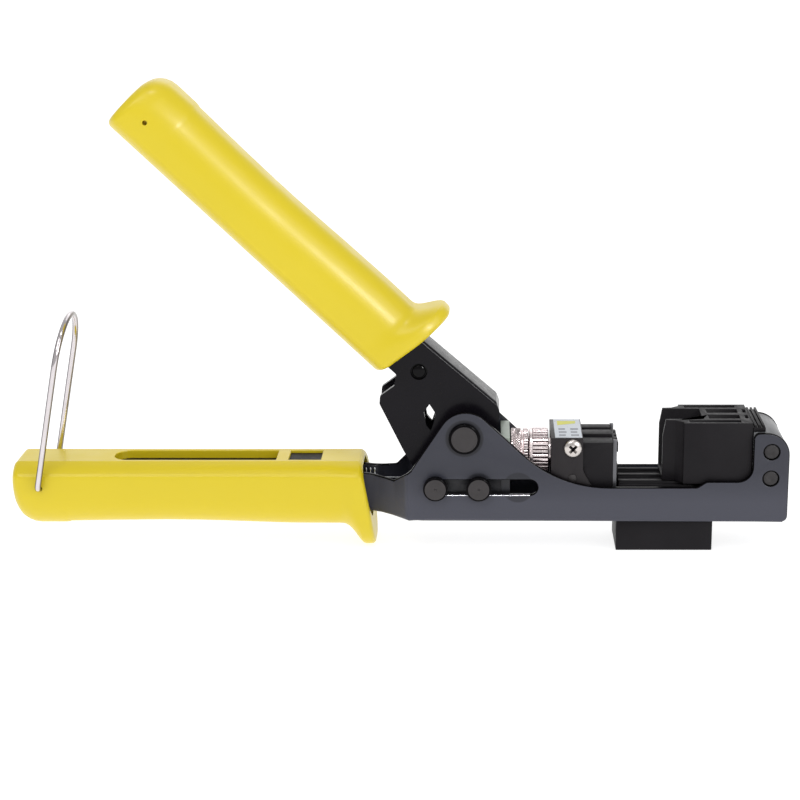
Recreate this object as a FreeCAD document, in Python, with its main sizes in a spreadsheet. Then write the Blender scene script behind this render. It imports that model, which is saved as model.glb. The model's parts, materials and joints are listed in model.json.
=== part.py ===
import FreeCAD, Part
import Sketcher
import math
import os

# Hand tool that seats a keystone jack: a squeezed lever drives a punch die along a U-shaped frame
# towards a fixed jack holder.  Millimetres, +X from the grips to the jack holder, +Z up, the base
# block's underside on Z = 0 and the tool symmetric about the XZ plane.

DIMENSIONS = {
    # frame channel
    "frame_width": 27.0,
    "sheet_gauge": 1.8,
    "frame_end": 128.9,
    "frame_floor": 11.3,
    "rail_top": 23.3,
    "seat_top": 25.3,
    "ear_top": 42.1,
    "ear_left": 116.9,
    "ear_round": 7.6,
    "ramp_round": 42.0,
    "lug_round": 9.2,
    "small_round": 2.0,
    "tang_rear": -116.0,
    "tang_top": 26.2,
    "tang_floor": 13.4,
    "tang_half": 6.3,
    # pivot, slot and pins
    "pivot_along": 21.1,
    "pivot_up": 40.4,
    "pivot_radius": 3.5,
    "pivot_head": 5.2,
    "slot_up": 23.4,
    "slot_half": 2.65,
    "slot_start": 10.9,
    "slot_finish": 42.8,
    "pin_radius": 2.35,
    "pin_head": 4.05,
    "drive_along": 11.4,
    "guide_along": 25.8,
    # end block, rivets and base block
    "rivet_radius": 2.5,
    "rivet_along": 122.9,
    "rivet_low": 26.5,
    "rivet_high": 35.7,
    "block_left": 72.0,
    "block_right": 104.4,
    "block_half": 10.0,
    "block_neck": 8.6,
    "block_top": 22.9,
    "ridge_rise": 1.0,
    "ridge_pitch": 6.6,
    # jack holder
    "holder_left": 93.9,
    "holder_right": 116.6,
    "holder_half": 11.6,
    "holder_under": 24.1,
    "holder_top": 45.1,
    "nose_left": 87.2,
    "nose_half": 7.6,
    "nest_half": 6.2,
    "nest_back": 100.6,
    # grips
    "grip_width": 26.0,
    "grip_rear": -129.9,
    "grip_inner": 30.6,
    "grip_outer": 8.8,
    "lever_angle": 43.87,
    # lever channel, measured from the pivot along and across the upper handle
    "lever_width": 14.0,
    "lever_edge": -1.1,
    "lever_web": 13.4,
    "lever_rear": -146.0,
    "fork_half": 2.95,
    "lever_rivet_radius": 2.75,
    # ram, adjuster and die
    "yoke_half": 10.45,
    "yoke_bar_half": 9.8,
    "yoke_gauge": 1.8,
    "yoke_left": 7.6,
    "yoke_plate": 33.2,
    "yoke_right": 36.2,
    "yoke_low": 19.2,
    "yoke_bar_top": 27.6,
    "yoke_top": 39.7,
    "stud_up": 31.5,
    "stud_radius": 3.9,
    "knurl_radius": 8.3,
    "barrel_radius": 8.5,
    "bracket_left": 49.9,
    "bracket_right": 60.5,
    "bracket_half": 11.4,
    "bracket_top": 39.9,
    "bracket_gauge": 1.0,
    "die_half": 10.3,
    "die_right": 71.6,
    "die_top": 38.5,
    "screw_along": 57.1,
    "screw_up": 36.4,
    # bail
    "bail_along": -120.7,
    "bail_up": 22.8,
    "bail_half": 15.2,
    "bail_leg": 42.3,
    "bail_wire": 1.0,
    "bail_lean": 11.0,
    # return spring
    "spring_radius": 2.8,
    "anchor_along": -24.0,
}

doc = FreeCAD.newDocument("jack_tool")
sheet = doc.addObject("Spreadsheet::Sheet", "dims")
for row, (alias, number) in enumerate(DIMENSIONS.items(), start=1):
    sheet.set(f"A{row}", alias)
    sheet.set(f"B{row}", str(number))
    sheet.setAlias(f"B{row}", alias)
doc.recompute()
size = {alias: float(sheet.get(alias)) for alias in DIMENSIONS}
sub_parts = []


# ---------------------------------------------------------------- helpers for bodies and sketches

def amount(spec):
    """The value of a plain number or of an (alias, offset) pair."""
    if isinstance(spec, tuple):
        return size[spec[0]] + spec[1]
    return float(spec)


def bind(thing, path, spec):
    """Bind one property or constraint to the sheet when its value comes from there."""
    if isinstance(spec, tuple):
        thing.setExpression(path, f"dims.{spec[0]} {spec[1]:+g}")


def new_body(name):
    body = doc.addObject("PartDesign::Body", name)
    body.Label = name
    sub_parts.append(body)
    return body


def new_sketch(body, name, role, offset=0.0):
    """A sketch on one of the body's own origin planes, moved along that plane's normal."""
    plane = next(item for item in body.Origin.OriginFeatures if item.Role == role)
    sketch = body.newObject("Sketcher::SketchObject", name)
    sketch.AttachmentSupport = [(plane, "")]
    sketch.MapMode = "FlatFace"
    sketch.AttachmentOffset = FreeCAD.Placement(FreeCAD.Vector(0, 0, amount(offset)), FreeCAD.Rotation())
    bind(sketch, "AttachmentOffset.Base.z", offset)
    return sketch


def polygon(sketch, corners):
    """A closed outline whose every corner is held by its distances from the sketch origin."""
    first = sketch.GeometryCount
    count = len(corners)
    points = [FreeCAD.Vector(amount(across), amount(up), 0) for across, up in corners]
    for index in range(count):
        line = Part.LineSegment(points[index], points[(index + 1) % count])
        sketch.addGeometry(line, False)
    for index in range(count):
        following = first + (index + 1) % count
        sketch.addConstraint(Sketcher.Constraint("Coincident", first + index, 2, following, 1))
    for index, corner in enumerate(corners):
        for kind, spec in zip(("DistanceX", "DistanceY"), corner):
            rule = Sketcher.Constraint(kind, -1, 1, first + index, 1, amount(spec))
            bind(sketch, f"Constraints[{sketch.addConstraint(rule)}]", spec)


def rectangle(sketch, left, right, low, high):
    polygon(sketch, [(left, low), (right, low), (right, high), (left, high)])


def circle(sketch, across, up, radius):
    centre = FreeCAD.Vector(amount(across), amount(up), 0)
    index = sketch.addGeometry(Part.Circle(centre, FreeCAD.Vector(0, 0, 1), amount(radius)), False)
    rules = (("DistanceX", across), ("DistanceY", up))
    for kind, spec in rules:
        rule = Sketcher.Constraint(kind, -1, 1, index, 3, amount(spec))
        bind(sketch, f"Constraints[{sketch.addConstraint(rule)}]", spec)
    rule = Sketcher.Constraint("Radius", index, amount(radius))
    bind(sketch, f"Constraints[{sketch.addConstraint(rule)}]", radius)


def extrude(body, kind, name, sketch, length=None, symmetric=False, upwards=False):
    """A Pad or Pocket of a sketch: to a length, or right through when no length is given."""
    before = body.Shape.Volume if body.Tip else 0.0
    feature = body.newObject(f"PartDesign::{kind}", name)
    feature.Profile = sketch
    if length is None:
        feature.Type = "ThroughAll"
    else:
        feature.Length = amount(length)
        bind(feature, "Length", length)
    if symmetric:
        feature.SideType = "Symmetric"
    feature.Reversed = upwards
    doc.recompute()
    if abs(feature.Shape.Volume - before) < 0.01:
        raise RuntimeError(f"{body.Label}.{name} changes nothing")
    return feature


def round_edges(body, name, places, radius, direction="y", reach=0.25):
    """Fillet the straight edges that run along one axis through the given places."""
    axes = {"x": ("y", "z"), "y": ("x", "z"), "z": ("x", "y")}[direction]
    base = body.Tip
    names = []
    for index, edge in enumerate(base.Shape.Edges, start=1):
        if edge.Curve.TypeId != "Part::GeomLine":
            continue
        tangent = edge.tangentAt(edge.FirstParameter)
        if abs(getattr(tangent, direction)) < 0.999:
            continue
        middle = edge.CenterOfMass
        for across, up in places:
            gap = math.hypot(getattr(middle, axes[0]) - amount(across), getattr(middle, axes[1]) - amount(up))
            if gap < reach:
                names.append(f"Edge{index}")
    if not names:
        raise RuntimeError(f"{body.Label}.{name} finds no edge")
    fillet = body.newObject("PartDesign::Fillet", name)
    fillet.Base = (base, names)
    fillet.Radius = amount(radius)
    bind(fillet, "Radius", radius)
    doc.recompute()
    return fillet


# ---------------------------------------------------------------- helpers for Part primitives

TURNS = {
    "x": FreeCAD.Rotation(FreeCAD.Vector(0, 1, 0), 90),
    "y": FreeCAD.Rotation(FreeCAD.Vector(1, 0, 0), -90),
    "z": FreeCAD.Rotation(),
}


def put(piece, base, axis="z"):
    """Place a primitive with its base point at base, standing along an axis."""
    spot = FreeCAD.Vector(*[amount(spec) for spec in base])
    piece.Placement = FreeCAD.Placement(spot, TURNS[axis])
    for letter, spec in zip("xyz", base):
        bind(piece, f"Placement.Base.{letter}", spec)
    return piece


def rod(name, axis, radius, length, base):
    piece = doc.addObject("Part::Cylinder", name)
    piece.Radius = amount(radius)
    piece.Height = amount(length)
    bind(piece, "Radius", radius)
    bind(piece, "Height", length)
    return put(piece, base, axis)


def slab(name, low, high):
    """A box between two corners, its sides bound to the sheet through both corners."""
    piece = doc.addObject("Part::Box", name)
    for side, start, stop in zip(("Length", "Width", "Height"), low, high):
        setattr(piece, side, amount(stop) - amount(start))
        terms = [f"(dims.{spec[0]} {spec[1]:+g})" if isinstance(spec, tuple) else f"({spec})"
                 for spec in (stop, start)]
        if isinstance(start, tuple) or isinstance(stop, tuple):
            piece.setExpression(side, f"{terms[0]} - {terms[1]}")
    return put(piece, low)


def join(name, pieces):
    union = doc.addObject("Part::MultiFuse", name)
    union.Shapes = pieces
    union.Refine = True
    return union


def remove(name, base, tool):
    result = doc.addObject("Part::Cut", name)
    result.Base = base
    result.Tool = tool
    result.Refine = True
    return result


def keep(piece, name):
    """Name a finished primitive or boolean as one of the tool's sub-parts."""
    piece.Label = name
    sub_parts.append(piece)
    return piece


def mirrored_rods(name, radius, length, along, up, start):
    """Two equal rods along Y, one on each side, whose inner ends lie at |Y| = start."""
    near = rod(f"{name}_near", "y", radius, length, (along, -start - length, up))
    far = rod(f"{name}_far", "y", radius, length, (along, start, up))
    return [near, far]


HALF_FRAME = size["frame_width"] / 2
INNER_FRAME = HALF_FRAME - size["sheet_gauge"]


# ---------------------------------------------------------------- frame and what is fixed to it

def make_frame_channel():
    """U channel of bent sheet: a lug for the pivot, low rails, two ears and a narrow tang."""
    body = new_body("frame_channel")
    side = new_sketch(body, "side_outline", "XZ_Plane")
    polygon(side, [
        (("tang_rear", 0), ("tang_floor", 0)),
        (-13.5, ("tang_floor", 0)),
        (5.0, ("frame_floor", 0)),
        (("frame_end", 0), ("frame_floor", 0)),
        (("frame_end", 0), ("ear_top", 0)),
        (("ear_left", 0), ("ear_top", 0)),
        (("ear_left", 0), ("seat_top", 0)),
        (101.6, ("seat_top", 0)),
        (98.6, ("rail_top", 0)),
        (52.6, ("rail_top", 0)),
        (("pivot_along", -1.2), ("pivot_up", 13.8)),
        (3.4, 29.4),
        (-2.5, ("tang_top", -1.4)),
        (-13.0, ("tang_top", 0)),
        (("tang_rear", 0), ("tang_top", 0)),
    ])
    extrude(body, "Pad", "walls", side, ("frame_width", 0), symmetric=True)
    round_edges(body, "ramp", [(52.6, ("rail_top", 0))], ("ramp_round", 0))
    round_edges(body, "lug", [(("pivot_along", -1.2), ("pivot_up", 13.8))], ("lug_round", 0))
    round_edges(body, "ear_corner", [(("frame_end", 0), ("ear_top", 0))], ("ear_round", 0))
    round_edges(body, "seat_corner", [(("ear_left", 0), ("seat_top", 0))], 5.0)
    round_edges(body, "neck_bends", [(-13.5, ("tang_floor", 0)), (5.0, ("frame_floor", 0))], 40.0)
    corners = [(("ear_left", 0), ("ear_top", 0)), (101.6, ("seat_top", 0)),
               (("frame_end", 0), ("frame_floor", 0)), (98.6, ("rail_top", 0))]
    round_edges(body, "small_corners", corners, ("small_round", 0))

    # the walls close in behind the lug to the tang that the lower grip covers
    outside = new_sketch(body, "neck_trim", "XY_Plane")
    for hand in (-1, 1):
        polygon(outside, [
            (2.2, hand * (HALF_FRAME + 1)),
            (2.2, hand * HALF_FRAME),
            (-7.8, hand * size["tang_half"]),
            (("tang_rear", -1), hand * size["tang_half"]),
            (("tang_rear", -1), hand * (HALF_FRAME + 1)),
        ])
    extrude(body, "Pocket", "neck_sides", outside, upwards=True)
    tang_inner = size["tang_half"] - size["sheet_gauge"]
    channel = new_sketch(body, "channel_plan", "XY_Plane", ("frame_floor", size["sheet_gauge"]))
    rectangle(channel, 1.6, ("frame_end", 1), -INNER_FRAME, INNER_FRAME)
    extrude(body, "Pocket", "channel", channel, upwards=True)
    groove = new_sketch(body, "tang_plan", "XY_Plane", ("tang_floor", size["sheet_gauge"]))
    polygon(groove, [
        (("tang_rear", -1), -tang_inner), (-8.4, -tang_inner), (1.6, -INNER_FRAME), (1.7, -INNER_FRAME),
        (1.7, INNER_FRAME), (1.6, INNER_FRAME), (-8.4, tang_inner), (("tang_rear", -1), tang_inner),
    ])
    extrude(body, "Pocket", "tang_channel", groove, upwards=True)

    slot = new_sketch(body, "slot_middle", "XZ_Plane")
    rectangle(slot, ("slot_start", 0), ("slot_finish", 0),
              size["slot_up"] - size["slot_half"], size["slot_up"] + size["slot_half"])
    extrude(body, "Pocket", "slot", slot, symmetric=True)
    ends = new_sketch(body, "slot_ends", "XZ_Plane")
    circle(ends, ("slot_start", 0), ("slot_up", 0), ("slot_half", 0))
    extrude(body, "Pocket", "slot_left_end", ends, symmetric=True)
    ends = new_sketch(body, "slot_right", "XZ_Plane")
    circle(ends, ("slot_finish", 0), ("slot_up", 0), ("slot_half", 0))
    extrude(body, "Pocket", "slot_right_end", ends, symmetric=True)
    holes = new_sketch(body, "cross_holes", "XZ_Plane")
    circle(holes, ("pivot_along", 0), ("pivot_up", 0), ("pivot_radius", 0.02))
    circle(holes, ("rivet_along", 0), ("rivet_low", 0), ("rivet_radius", 0.1))
    circle(holes, ("rivet_along", 0), ("rivet_high", 0), ("rivet_radius", 0.1))
    circle(holes, ("anchor_along", 0), ("slot_up", 0), 1.52)
    extrude(body, "Pocket", "pin_holes", holes, symmetric=True)
    window = new_sketch(body, "block_window", "XY_Plane")
    rectangle(window, ("block_left", 0.5), ("block_right", -0.2), -8.7, 8.7)
    extrude(body, "Pocket", "block_hole", window, upwards=True)
    screws = new_sketch(body, "screw_holes", "XY_Plane")
    for across in (-6.0, 6.0):
        circle(screws, 110.6, across, 1.7)
    extrude(body, "Pocket", "screw_clearance", screws, upwards=True)


def make_end_block():
    body = new_body("end_block")
    side = new_sketch(body, "outline", "XZ_Plane")
    rectangle(side, ("ear_left", 0.1), ("frame_end", -0.2), ("frame_floor", 1.85), ("ear_top", -0.1))
    extrude(body, "Pad", "block", side, 2 * INNER_FRAME - 0.1, symmetric=True)
    round_edges(body, "corner", [(("frame_end", -0.2), ("ear_top", -0.1))], ("ear_round", 0))
    holes = new_sketch(body, "rivet_holes", "XZ_Plane")
    circle(holes, ("rivet_along", 0), ("rivet_low", 0), ("rivet_radius", 0.05))
    circle(holes, ("rivet_along", 0), ("rivet_high", 0), ("rivet_radius", 0.05))
    extrude(body, "Pocket", "holes", holes, symmetric=True)


def make_end_rivets():
    length = size["frame_width"] - 0.6
    rivets = [rod(f"end_rivet_{level}", "y", ("rivet_radius", 0), length,
                  (("rivet_along", 0), -length / 2, (f"rivet_{level}", 0)))
              for level in ("low", "high")]
    keep(join("end_rivet_pair", rivets), "end_rivets")


def make_base_block():
    """Plastic block let into the channel floor, with three guide ridges along its top."""
    foot = slab("block_foot", (("block_left", 0), ("block_half", -20.0), 0),
                (("block_right", 0), ("block_half", 0), ("frame_floor", -0.05)))
    neck = slab("block_neck_box", (("block_left", 0.6), -size["block_neck"], 11.0),
                (("block_right", -0.3), ("block_neck", 0), ("block_top", 0)))
    ridges = [slab(f"block_ridge_{index}",
                   (("block_left", 0.6), index * size["ridge_pitch"] - 0.8, 22.0),
                   (("block_right", -0.3), index * size["ridge_pitch"] + 0.8,
                    ("block_top", size["ridge_rise"])))
              for index in (-1, 0, 1)]
    keep(join("base_block_body", [foot, neck] + ridges), "base_block")


def make_jack_holder():
    """Slotted block with a nose of two flared cheeks that a jack drops between."""
    body = new_body("jack_holder")
    side = new_sketch(body, "side_outline", "XZ_Plane")
    polygon(side, [
        (("holder_left", 0), ("holder_under", 0)), (104.8, ("holder_under", 0)),
        (104.8, ("frame_floor", 1.9)), (("holder_right", 0), ("frame_floor", 1.9)),
        (("holder_right", 0), ("holder_top", 0)), (("holder_left", 0), ("holder_top", 0)),
    ])
    extrude(body, "Pad", "block", side, 2 * size["holder_half"], symmetric=True)
    nose = new_sketch(body, "nose_plan", "XY_Plane", ("holder_under", 0))
    polygon(nose, [
        (("nose_left", 0), ("nose_half", -15.2)), (91.3, -7.9), (("holder_left", 0.2), -10.2),
        (("holder_left", 0.2), 10.2), (91.3, 7.9), (("nose_left", 0), ("nose_half", 0)),
    ])
    extrude(body, "Pad", "nose", nose, size["holder_top"] - size["holder_under"])
    chamfer = new_sketch(body, "nose_chamfer_outline", "XZ_Plane")
    polygon(chamfer, [(("nose_left", -1), 39.8), (("nose_left", 0), 39.8),
                      (("nose_left", 1.0), ("holder_top", 0.2)), (("nose_left", -1), ("holder_top", 0.2))])
    extrude(body, "Pocket", "nose_chamfer", chamfer, symmetric=True)
    nest = new_sketch(body, "nest_plan", "XY_Plane", ("holder_under", 1.5))
    rectangle(nest, ("nose_left", -1), ("nest_back", 0), -size["nest_half"], ("nest_half", 0))
    extrude(body, "Pocket", "nest", nest, upwards=True)
    openings = new_sketch(body, "top_slots", "XY_Plane", ("holder_top", 0))
    for hand in (-1, 1):
        rectangle(openings, 95.8, 113.0, hand * 9.0 - 1.3, hand * 9.0 + 1.3)
        rectangle(openings, 102.7, 113.2, hand * 3.5 - 2.2, hand * 3.5 + 2.2)
    extrude(body, "Pocket", "slots", openings, 14.0)
    sockets = new_sketch(body, "clip_sockets", "XY_Plane", ("holder_top", 0))
    for hand in (-1, 1):
        rectangle(sockets, 114.9, 116.0, hand * 3.5 - 2.0, hand * 3.5 + 2.0)
    extrude(body, "Pocket", "sockets", sockets, 3.0)
    bores = new_sketch(body, "screw_bores", "XY_Plane", ("frame_floor", 1.0))
    for across in (-6.0, 6.0):
        circle(bores, 110.6, across, 1.5)
    extrude(body, "Pocket", "bores", bores, 10.0, upwards=True)


def make_holder_retainer():
    """Ribbed strip that clips the holder down on the end block."""
    strip = slab("retainer_strip", (("holder_right", 0.15), -11.2, ("ear_top", 0)), (120.9, 11.2, 43.5))
    ribs = [slab(f"retainer_rib_{index}", (117.1 + 1.35 * index, -11.2, 43.0),
                 (117.9 + 1.35 * index, 11.2, 44.3)) for index in range(3)]
    keep(join("retainer_body", [strip] + ribs), "holder_retainer")


def make_holder_screws():
    screws = []
    for number, across in enumerate((-6.0, 6.0)):
        base = (110.6, across, ("frame_floor", -1.3))
        head = rod(f"holder_screw_head_{number}", "z", 2.8, 1.25, base)
        shank = rod(f"holder_screw_shank_{number}", "z", 1.48, 9.0, base)
        screws.append(join(f"holder_screw_{number}", [head, shank]))
    keep(join("holder_screw_pair", screws), "holder_screws")


def grip_outline(body, name, corners, width):
    side = new_sketch(body, name, "XZ_Plane")
    polygon(side, corners)
    extrude(body, "Pad", "moulding", side, width, symmetric=True)


def make_lower_grip():
    """Moulded sleeve over the tang, with a finger guard and two openings in its upper face."""
    body = new_body("lower_grip")
    rear_low = (("grip_rear", 0), ("grip_outer", 0))
    rear_high = (("grip_rear", 0), ("grip_inner", 0))
    guard_root = (-19.5, ("grip_outer", -0.6))
    guard_tip = (-12.8, 0.9)
    guard_front = (-8.6, 0.9)
    grip_outline(body, "side_outline", [
        rear_low, guard_root, guard_tip, guard_front, (-13.2, ("grip_inner", 0)), rear_high,
    ], ("grip_width", 0))
    round_edges(body, "rear_low_corner", [rear_low], 8.0)
    round_edges(body, "rear_high_corner", [rear_high], 3.0)
    round_edges(body, "guard_hollow", [guard_root], 6.0)
    round_edges(body, "guard_corners", [guard_tip, guard_front], 1.7)
    tang = new_sketch(body, "tang_cavity", "YZ_Plane", ("tang_rear", -0.2))
    rectangle(tang, -size["tang_half"] - 0.05, ("tang_half", 0.05), ("tang_floor", -0.05),
              ("tang_top", 0.05))
    extrude(body, "Pocket", "cavity", tang, 130.0, upwards=True)
    mouth = new_sketch(body, "mouth_cavity", "YZ_Plane", -30.0)
    rectangle(mouth, -10.6, 10.6, ("frame_floor", -5.5), ("grip_inner", -2.2))
    extrude(body, "Pocket", "mouth", mouth, 40.0, upwards=True)
    openings = new_sketch(body, "top_openings", "XY_Plane", ("grip_inner", 0))
    polygon(openings, [(-97.0, 0.0), (-90.0, -4.4), (-42.0, -4.4), (-42.0, 4.4), (-90.0, 4.4)])
    rectangle(openings, -38.2, -27.2, -4.4, 4.4)
    extrude(body, "Pocket", "openings", openings, 6.0)
    eyes = new_sketch(body, "bail_eyes", "XZ_Plane")
    circle(eyes, ("bail_along", 0), ("bail_up", 0), ("bail_wire", 0.08))
    extrude(body, "Pocket", "bail_holes", eyes, symmetric=True)


def make_pivot():
    span = size["frame_width"] + 0.2
    centre = (("pivot_along", 0), -span / 2, ("pivot_up", 0))
    shaft = rod("pivot_shaft", "y", ("pivot_radius", 0), span, centre)
    heads = mirrored_rods("pivot_head", ("pivot_head", 0), 1.4, ("pivot_along", 0), ("pivot_up", 0),
                          HALF_FRAME + 0.02)
    keep(join("pivot_pin_body", [shaft] + heads), "pivot_pin")
    inner_end = size["lever_width"] / 2 + 0.1
    sleeves = mirrored_rods("spacer_sleeve", 5.6, INNER_FRAME - 0.1 - inner_end, ("pivot_along", 0),
                            ("pivot_up", 0), inner_end)
    bore_end = (("pivot_along", 0), -20.0, ("pivot_up", 0))
    bore = rod("spacer_bore", "y", ("pivot_radius", 0.06), 40.0, bore_end)
    keep(remove("spacer_pair", join("spacer_sleeves", sleeves), bore), "pivot_spacers")


def make_spring_and_anchor():
    length = 2 * size["tang_half"]
    anchor = rod("anchor_rod", "y", 1.5, length, (("anchor_along", 0), -length / 2, ("slot_up", 0)))
    keep(anchor, "spring_anchor")
    coil = rod("spring_envelope", "x", ("spring_radius", 0), 30.0, (("anchor_along", 1.8), 0, ("slot_up", 0)))
    keep(coil, "return_spring")


# ---------------------------------------------------------------- lever, drawn from the pivot

LEVER_RIVET = (-25.5, 4.8)


def lever_placement():
    """Turns the handle's own axes to the open position, with the pivot as their origin."""
    turn = FreeCAD.Rotation(FreeCAD.Vector(0, 1, 0), size["lever_angle"])
    return FreeCAD.Placement(FreeCAD.Vector(size["pivot_along"], 0, size["pivot_up"]), turn)


def set_on_lever(piece):
    piece.Placement = lever_placement()
    piece.setExpression("Placement.Base.x", "dims.pivot_along")
    piece.setExpression("Placement.Base.z", "dims.pivot_up")
    piece.setExpression("Placement.Rotation.Angle", "dims.lever_angle")
    return piece


def drive_pin_from_pivot():
    """The drive pin's place in the lever's own axes."""
    apart = FreeCAD.Vector(size["drive_along"] - size["pivot_along"], 0, size["slot_up"] - size["pivot_up"])
    return lever_placement().Rotation.inverted().multVec(apart)


def make_lever_channel():
    """U channel, open towards the lower handle, whose plates end in a fork over the drive pin."""
    body = new_body("lever_channel")
    side = new_sketch(body, "side_outline", "XZ_Plane")
    heel_high = (-29.1, -10.2)
    heel_low = (-27.4, -12.3)
    toe = (-0.6, -23.2)
    fork_front = (11.2, -20.6)
    flank = (11.8, 0.5)
    polygon(side, [
        (("lever_rear", 0), ("lever_edge", 0)), (-30.2, ("lever_edge", 0)), (-28.1, -4.4),
        heel_high, heel_low, (-10.5, -18.6), (-4.5, -20.4), toe, fork_front, (11.0, -9.0), flank,
        (6.7, 8.8), (3.4, 13.4), (0.2, 15.0), (-32.6, ("lever_web", 0)),
        (("lever_rear", 0), ("lever_web", 0)),
    ])
    extrude(body, "Pad", "walls", side, ("lever_width", 0), symmetric=True)
    round_edges(body, "heel", [heel_high, heel_low], 1.2)
    round_edges(body, "notch", [(-30.2, ("lever_edge", 0))], 0.8)
    round_edges(body, "fork_corners", [toe, fork_front], 1.5)
    round_edges(body, "front", [flank, (3.4, 13.4)], 4.0)
    inside = new_sketch(body, "inside_outline", "XZ_Plane")
    under_web = ("lever_web", -size["sheet_gauge"])
    polygon(inside, [
        (("lever_rear", -1), -40.0), (30.0, -40.0), (30.0, 14.8), (0.3, 13.2), (-32.5, under_web),
        (("lever_rear", -1), under_web),
    ])
    between = size["lever_width"] - 2 * size["sheet_gauge"]
    extrude(body, "Pocket", "inside", inside, between, symmetric=True)

    # the fork's slot points at the pivot and is open at its lower end
    pin = drive_pin_from_pivot()
    reach = math.hypot(pin.x, pin.z)
    outward = (pin.x / reach, pin.z / reach)
    sideways = (-outward[1], outward[0])
    fork = new_sketch(body, "fork_outline", "XZ_Plane")
    corners = [(13.8, -1), (30.0, -1), (30.0, 1), (13.8, 1)]
    polygon(fork, [tuple(outward[k] * far + sideways[k] * side_of * size["fork_half"] for k in (0, 1))
                   for far, side_of in corners])
    extrude(body, "Pocket", "fork", fork, symmetric=True)
    holes = new_sketch(body, "plate_holes", "XZ_Plane")
    circle(holes, 0, 0, ("pivot_radius", 0.06))
    circle(holes, *LEVER_RIVET, ("lever_rivet_radius", 0.05))
    extrude(body, "Pocket", "pin_holes", holes, symmetric=True)
    window = new_sketch(body, "window_outline", "XZ_Plane")
    polygon(window, [
        (-15.3, -0.9), (-11.7, -1.8), (-10.0, -4.3), (-8.6, -7.3), (-11.2, -6.9), (-14.8, -4.1),
    ])
    extrude(body, "Pocket", "window", window, symmetric=True)
    set_on_lever(body)


def make_upper_grip():
    """Moulded sleeve over the lever's rear, with a finger guard at its front."""
    body = new_body("upper_grip")
    rear_low = (-153.7, -4.3)
    rear_high = (-153.7, 18.2)
    guard_root = (-39.6, 19.2)
    guard_tip = (-36.6, 25.4)
    guard_front = (-31.0, 25.4)
    grip_outline(body, "side_outline", [
        rear_low, (-35.6, -4.3), (-32.2, 15.0), guard_front, guard_tip, guard_root, rear_high,
    ], ("grip_width", 0))
    round_edges(body, "rear_low_corner", [rear_low], 3.0)
    round_edges(body, "rear_high_corner", [rear_high], 8.0)
    round_edges(body, "guard_hollow", [guard_root], 4.0)
    round_edges(body, "guard_corners", [guard_tip, guard_front], 1.7)
    cavity = new_sketch(body, "steel_cavity", "YZ_Plane", ("lever_rear", -0.2))
    half = size["lever_width"] / 2 + 0.05
    rectangle(cavity, -half, half, ("lever_edge", -0.05), ("lever_web", 0.05))
    extrude(body, "Pocket", "cavity", cavity, 130.0, upwards=True)
    vent = new_sketch(body, "vent_outline", "XZ_Plane", 9.0)
    circle(vent, -144.6, 5.2, 0.8)
    extrude(body, "Pocket", "vent", vent, 8.0, upwards=True)
    set_on_lever(body)


def make_lever_pins():
    length = size["lever_width"] - 0.6
    handle = lever_placement()
    spot = handle.multVec(FreeCAD.Vector(LEVER_RIVET[0], 0, LEVER_RIVET[1]))
    rivet = rod("lever_rivet_body", "y", ("lever_rivet_radius", 0), length, (spot.x, -length / 2, spot.z))
    keep(rivet, "lever_rivet")
    gap = size["lever_width"] - 2 * size["sheet_gauge"] - 0.1
    centre = (("pivot_along", 0), -gap / 2, ("pivot_up", 0))
    sleeve = rod("bush_sleeve", "y", 5.2, gap, centre)
    bore = rod("bush_bore", "y", ("pivot_radius", 0.06), gap + 2, (centre[0], -gap / 2 - 1, centre[2]))
    keep(remove("bush_body", sleeve, bore), "pivot_bush")


# ---------------------------------------------------------------- ram and adjuster

def make_ram_yoke():
    """Two bars joined by an upright cross plate that carries the adjusting stud."""
    body = new_body("ram_yoke")
    side = new_sketch(body, "side_outline", "XZ_Plane")
    polygon(side, [
        (("yoke_left", 0), ("yoke_low", 0)), (("yoke_right", 0), ("yoke_low", 0)),
        (("yoke_right", 0), ("yoke_top", 0)), (("yoke_plate", 0), ("yoke_top", 0)),
        (("yoke_plate", 0), ("yoke_bar_top", 0)), (("yoke_left", 0), ("yoke_bar_top", 0)),
    ])
    extrude(body, "Pad", "blank", side, 2 * size["yoke_half"], symmetric=True)
    trims = new_sketch(body, "bar_plan", "XY_Plane")
    for hand in (-1, 1):
        rectangle(trims, ("yoke_left", -1), ("yoke_plate", 0),
                  hand * (size["yoke_bar_half"] + 2) - 2, hand * (size["yoke_bar_half"] + 2) + 2)
    gap = size["yoke_bar_half"] - size["yoke_gauge"]
    rectangle(trims, ("yoke_left", -1), ("yoke_plate", 0), -gap, gap)
    extrude(body, "Pocket", "bars", trims, upwards=True)
    holes = new_sketch(body, "pin_holes_outline", "XZ_Plane")
    circle(holes, ("drive_along", 0), ("slot_up", 0), ("pin_radius", 0.05))
    circle(holes, ("guide_along", 0), ("slot_up", 0), ("pin_radius", 0.05))
    extrude(body, "Pocket", "pin_holes", holes, symmetric=True)
    bore = new_sketch(body, "stud_bore_outline", "YZ_Plane")
    circle(bore, 0, ("stud_up", 0), ("stud_radius", 0.02))
    extrude(body, "Pocket", "stud_bore", bore, upwards=True)


def make_slot_pins():
    span = size["frame_width"] + 0.6
    for name in ("drive", "guide"):
        along = (f"{name}_along", 0)
        shaft = rod(f"{name}_shaft", "y", ("pin_radius", 0), span, (along, -span / 2, ("slot_up", 0)))
        heads = mirrored_rods(f"{name}_head", ("pin_head", 0), 2.4, along, ("slot_up", 0), HALF_FRAME + 0.3)
        keep(join(f"{name}_pin_body", [shaft] + heads), f"{name}_pin")


def make_adjusting_stud():
    head = rod("stud_head", "x", 5.4, 2.4, (("yoke_plate", -2.45), 0, ("stud_up", 0)))
    thread = rod("stud_thread", "x", ("stud_radius", 0), 23.0, (("yoke_plate", -2.45), 0, ("stud_up", 0)))
    keep(join("stud_body", [head, thread]), "adjusting_stud")


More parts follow.
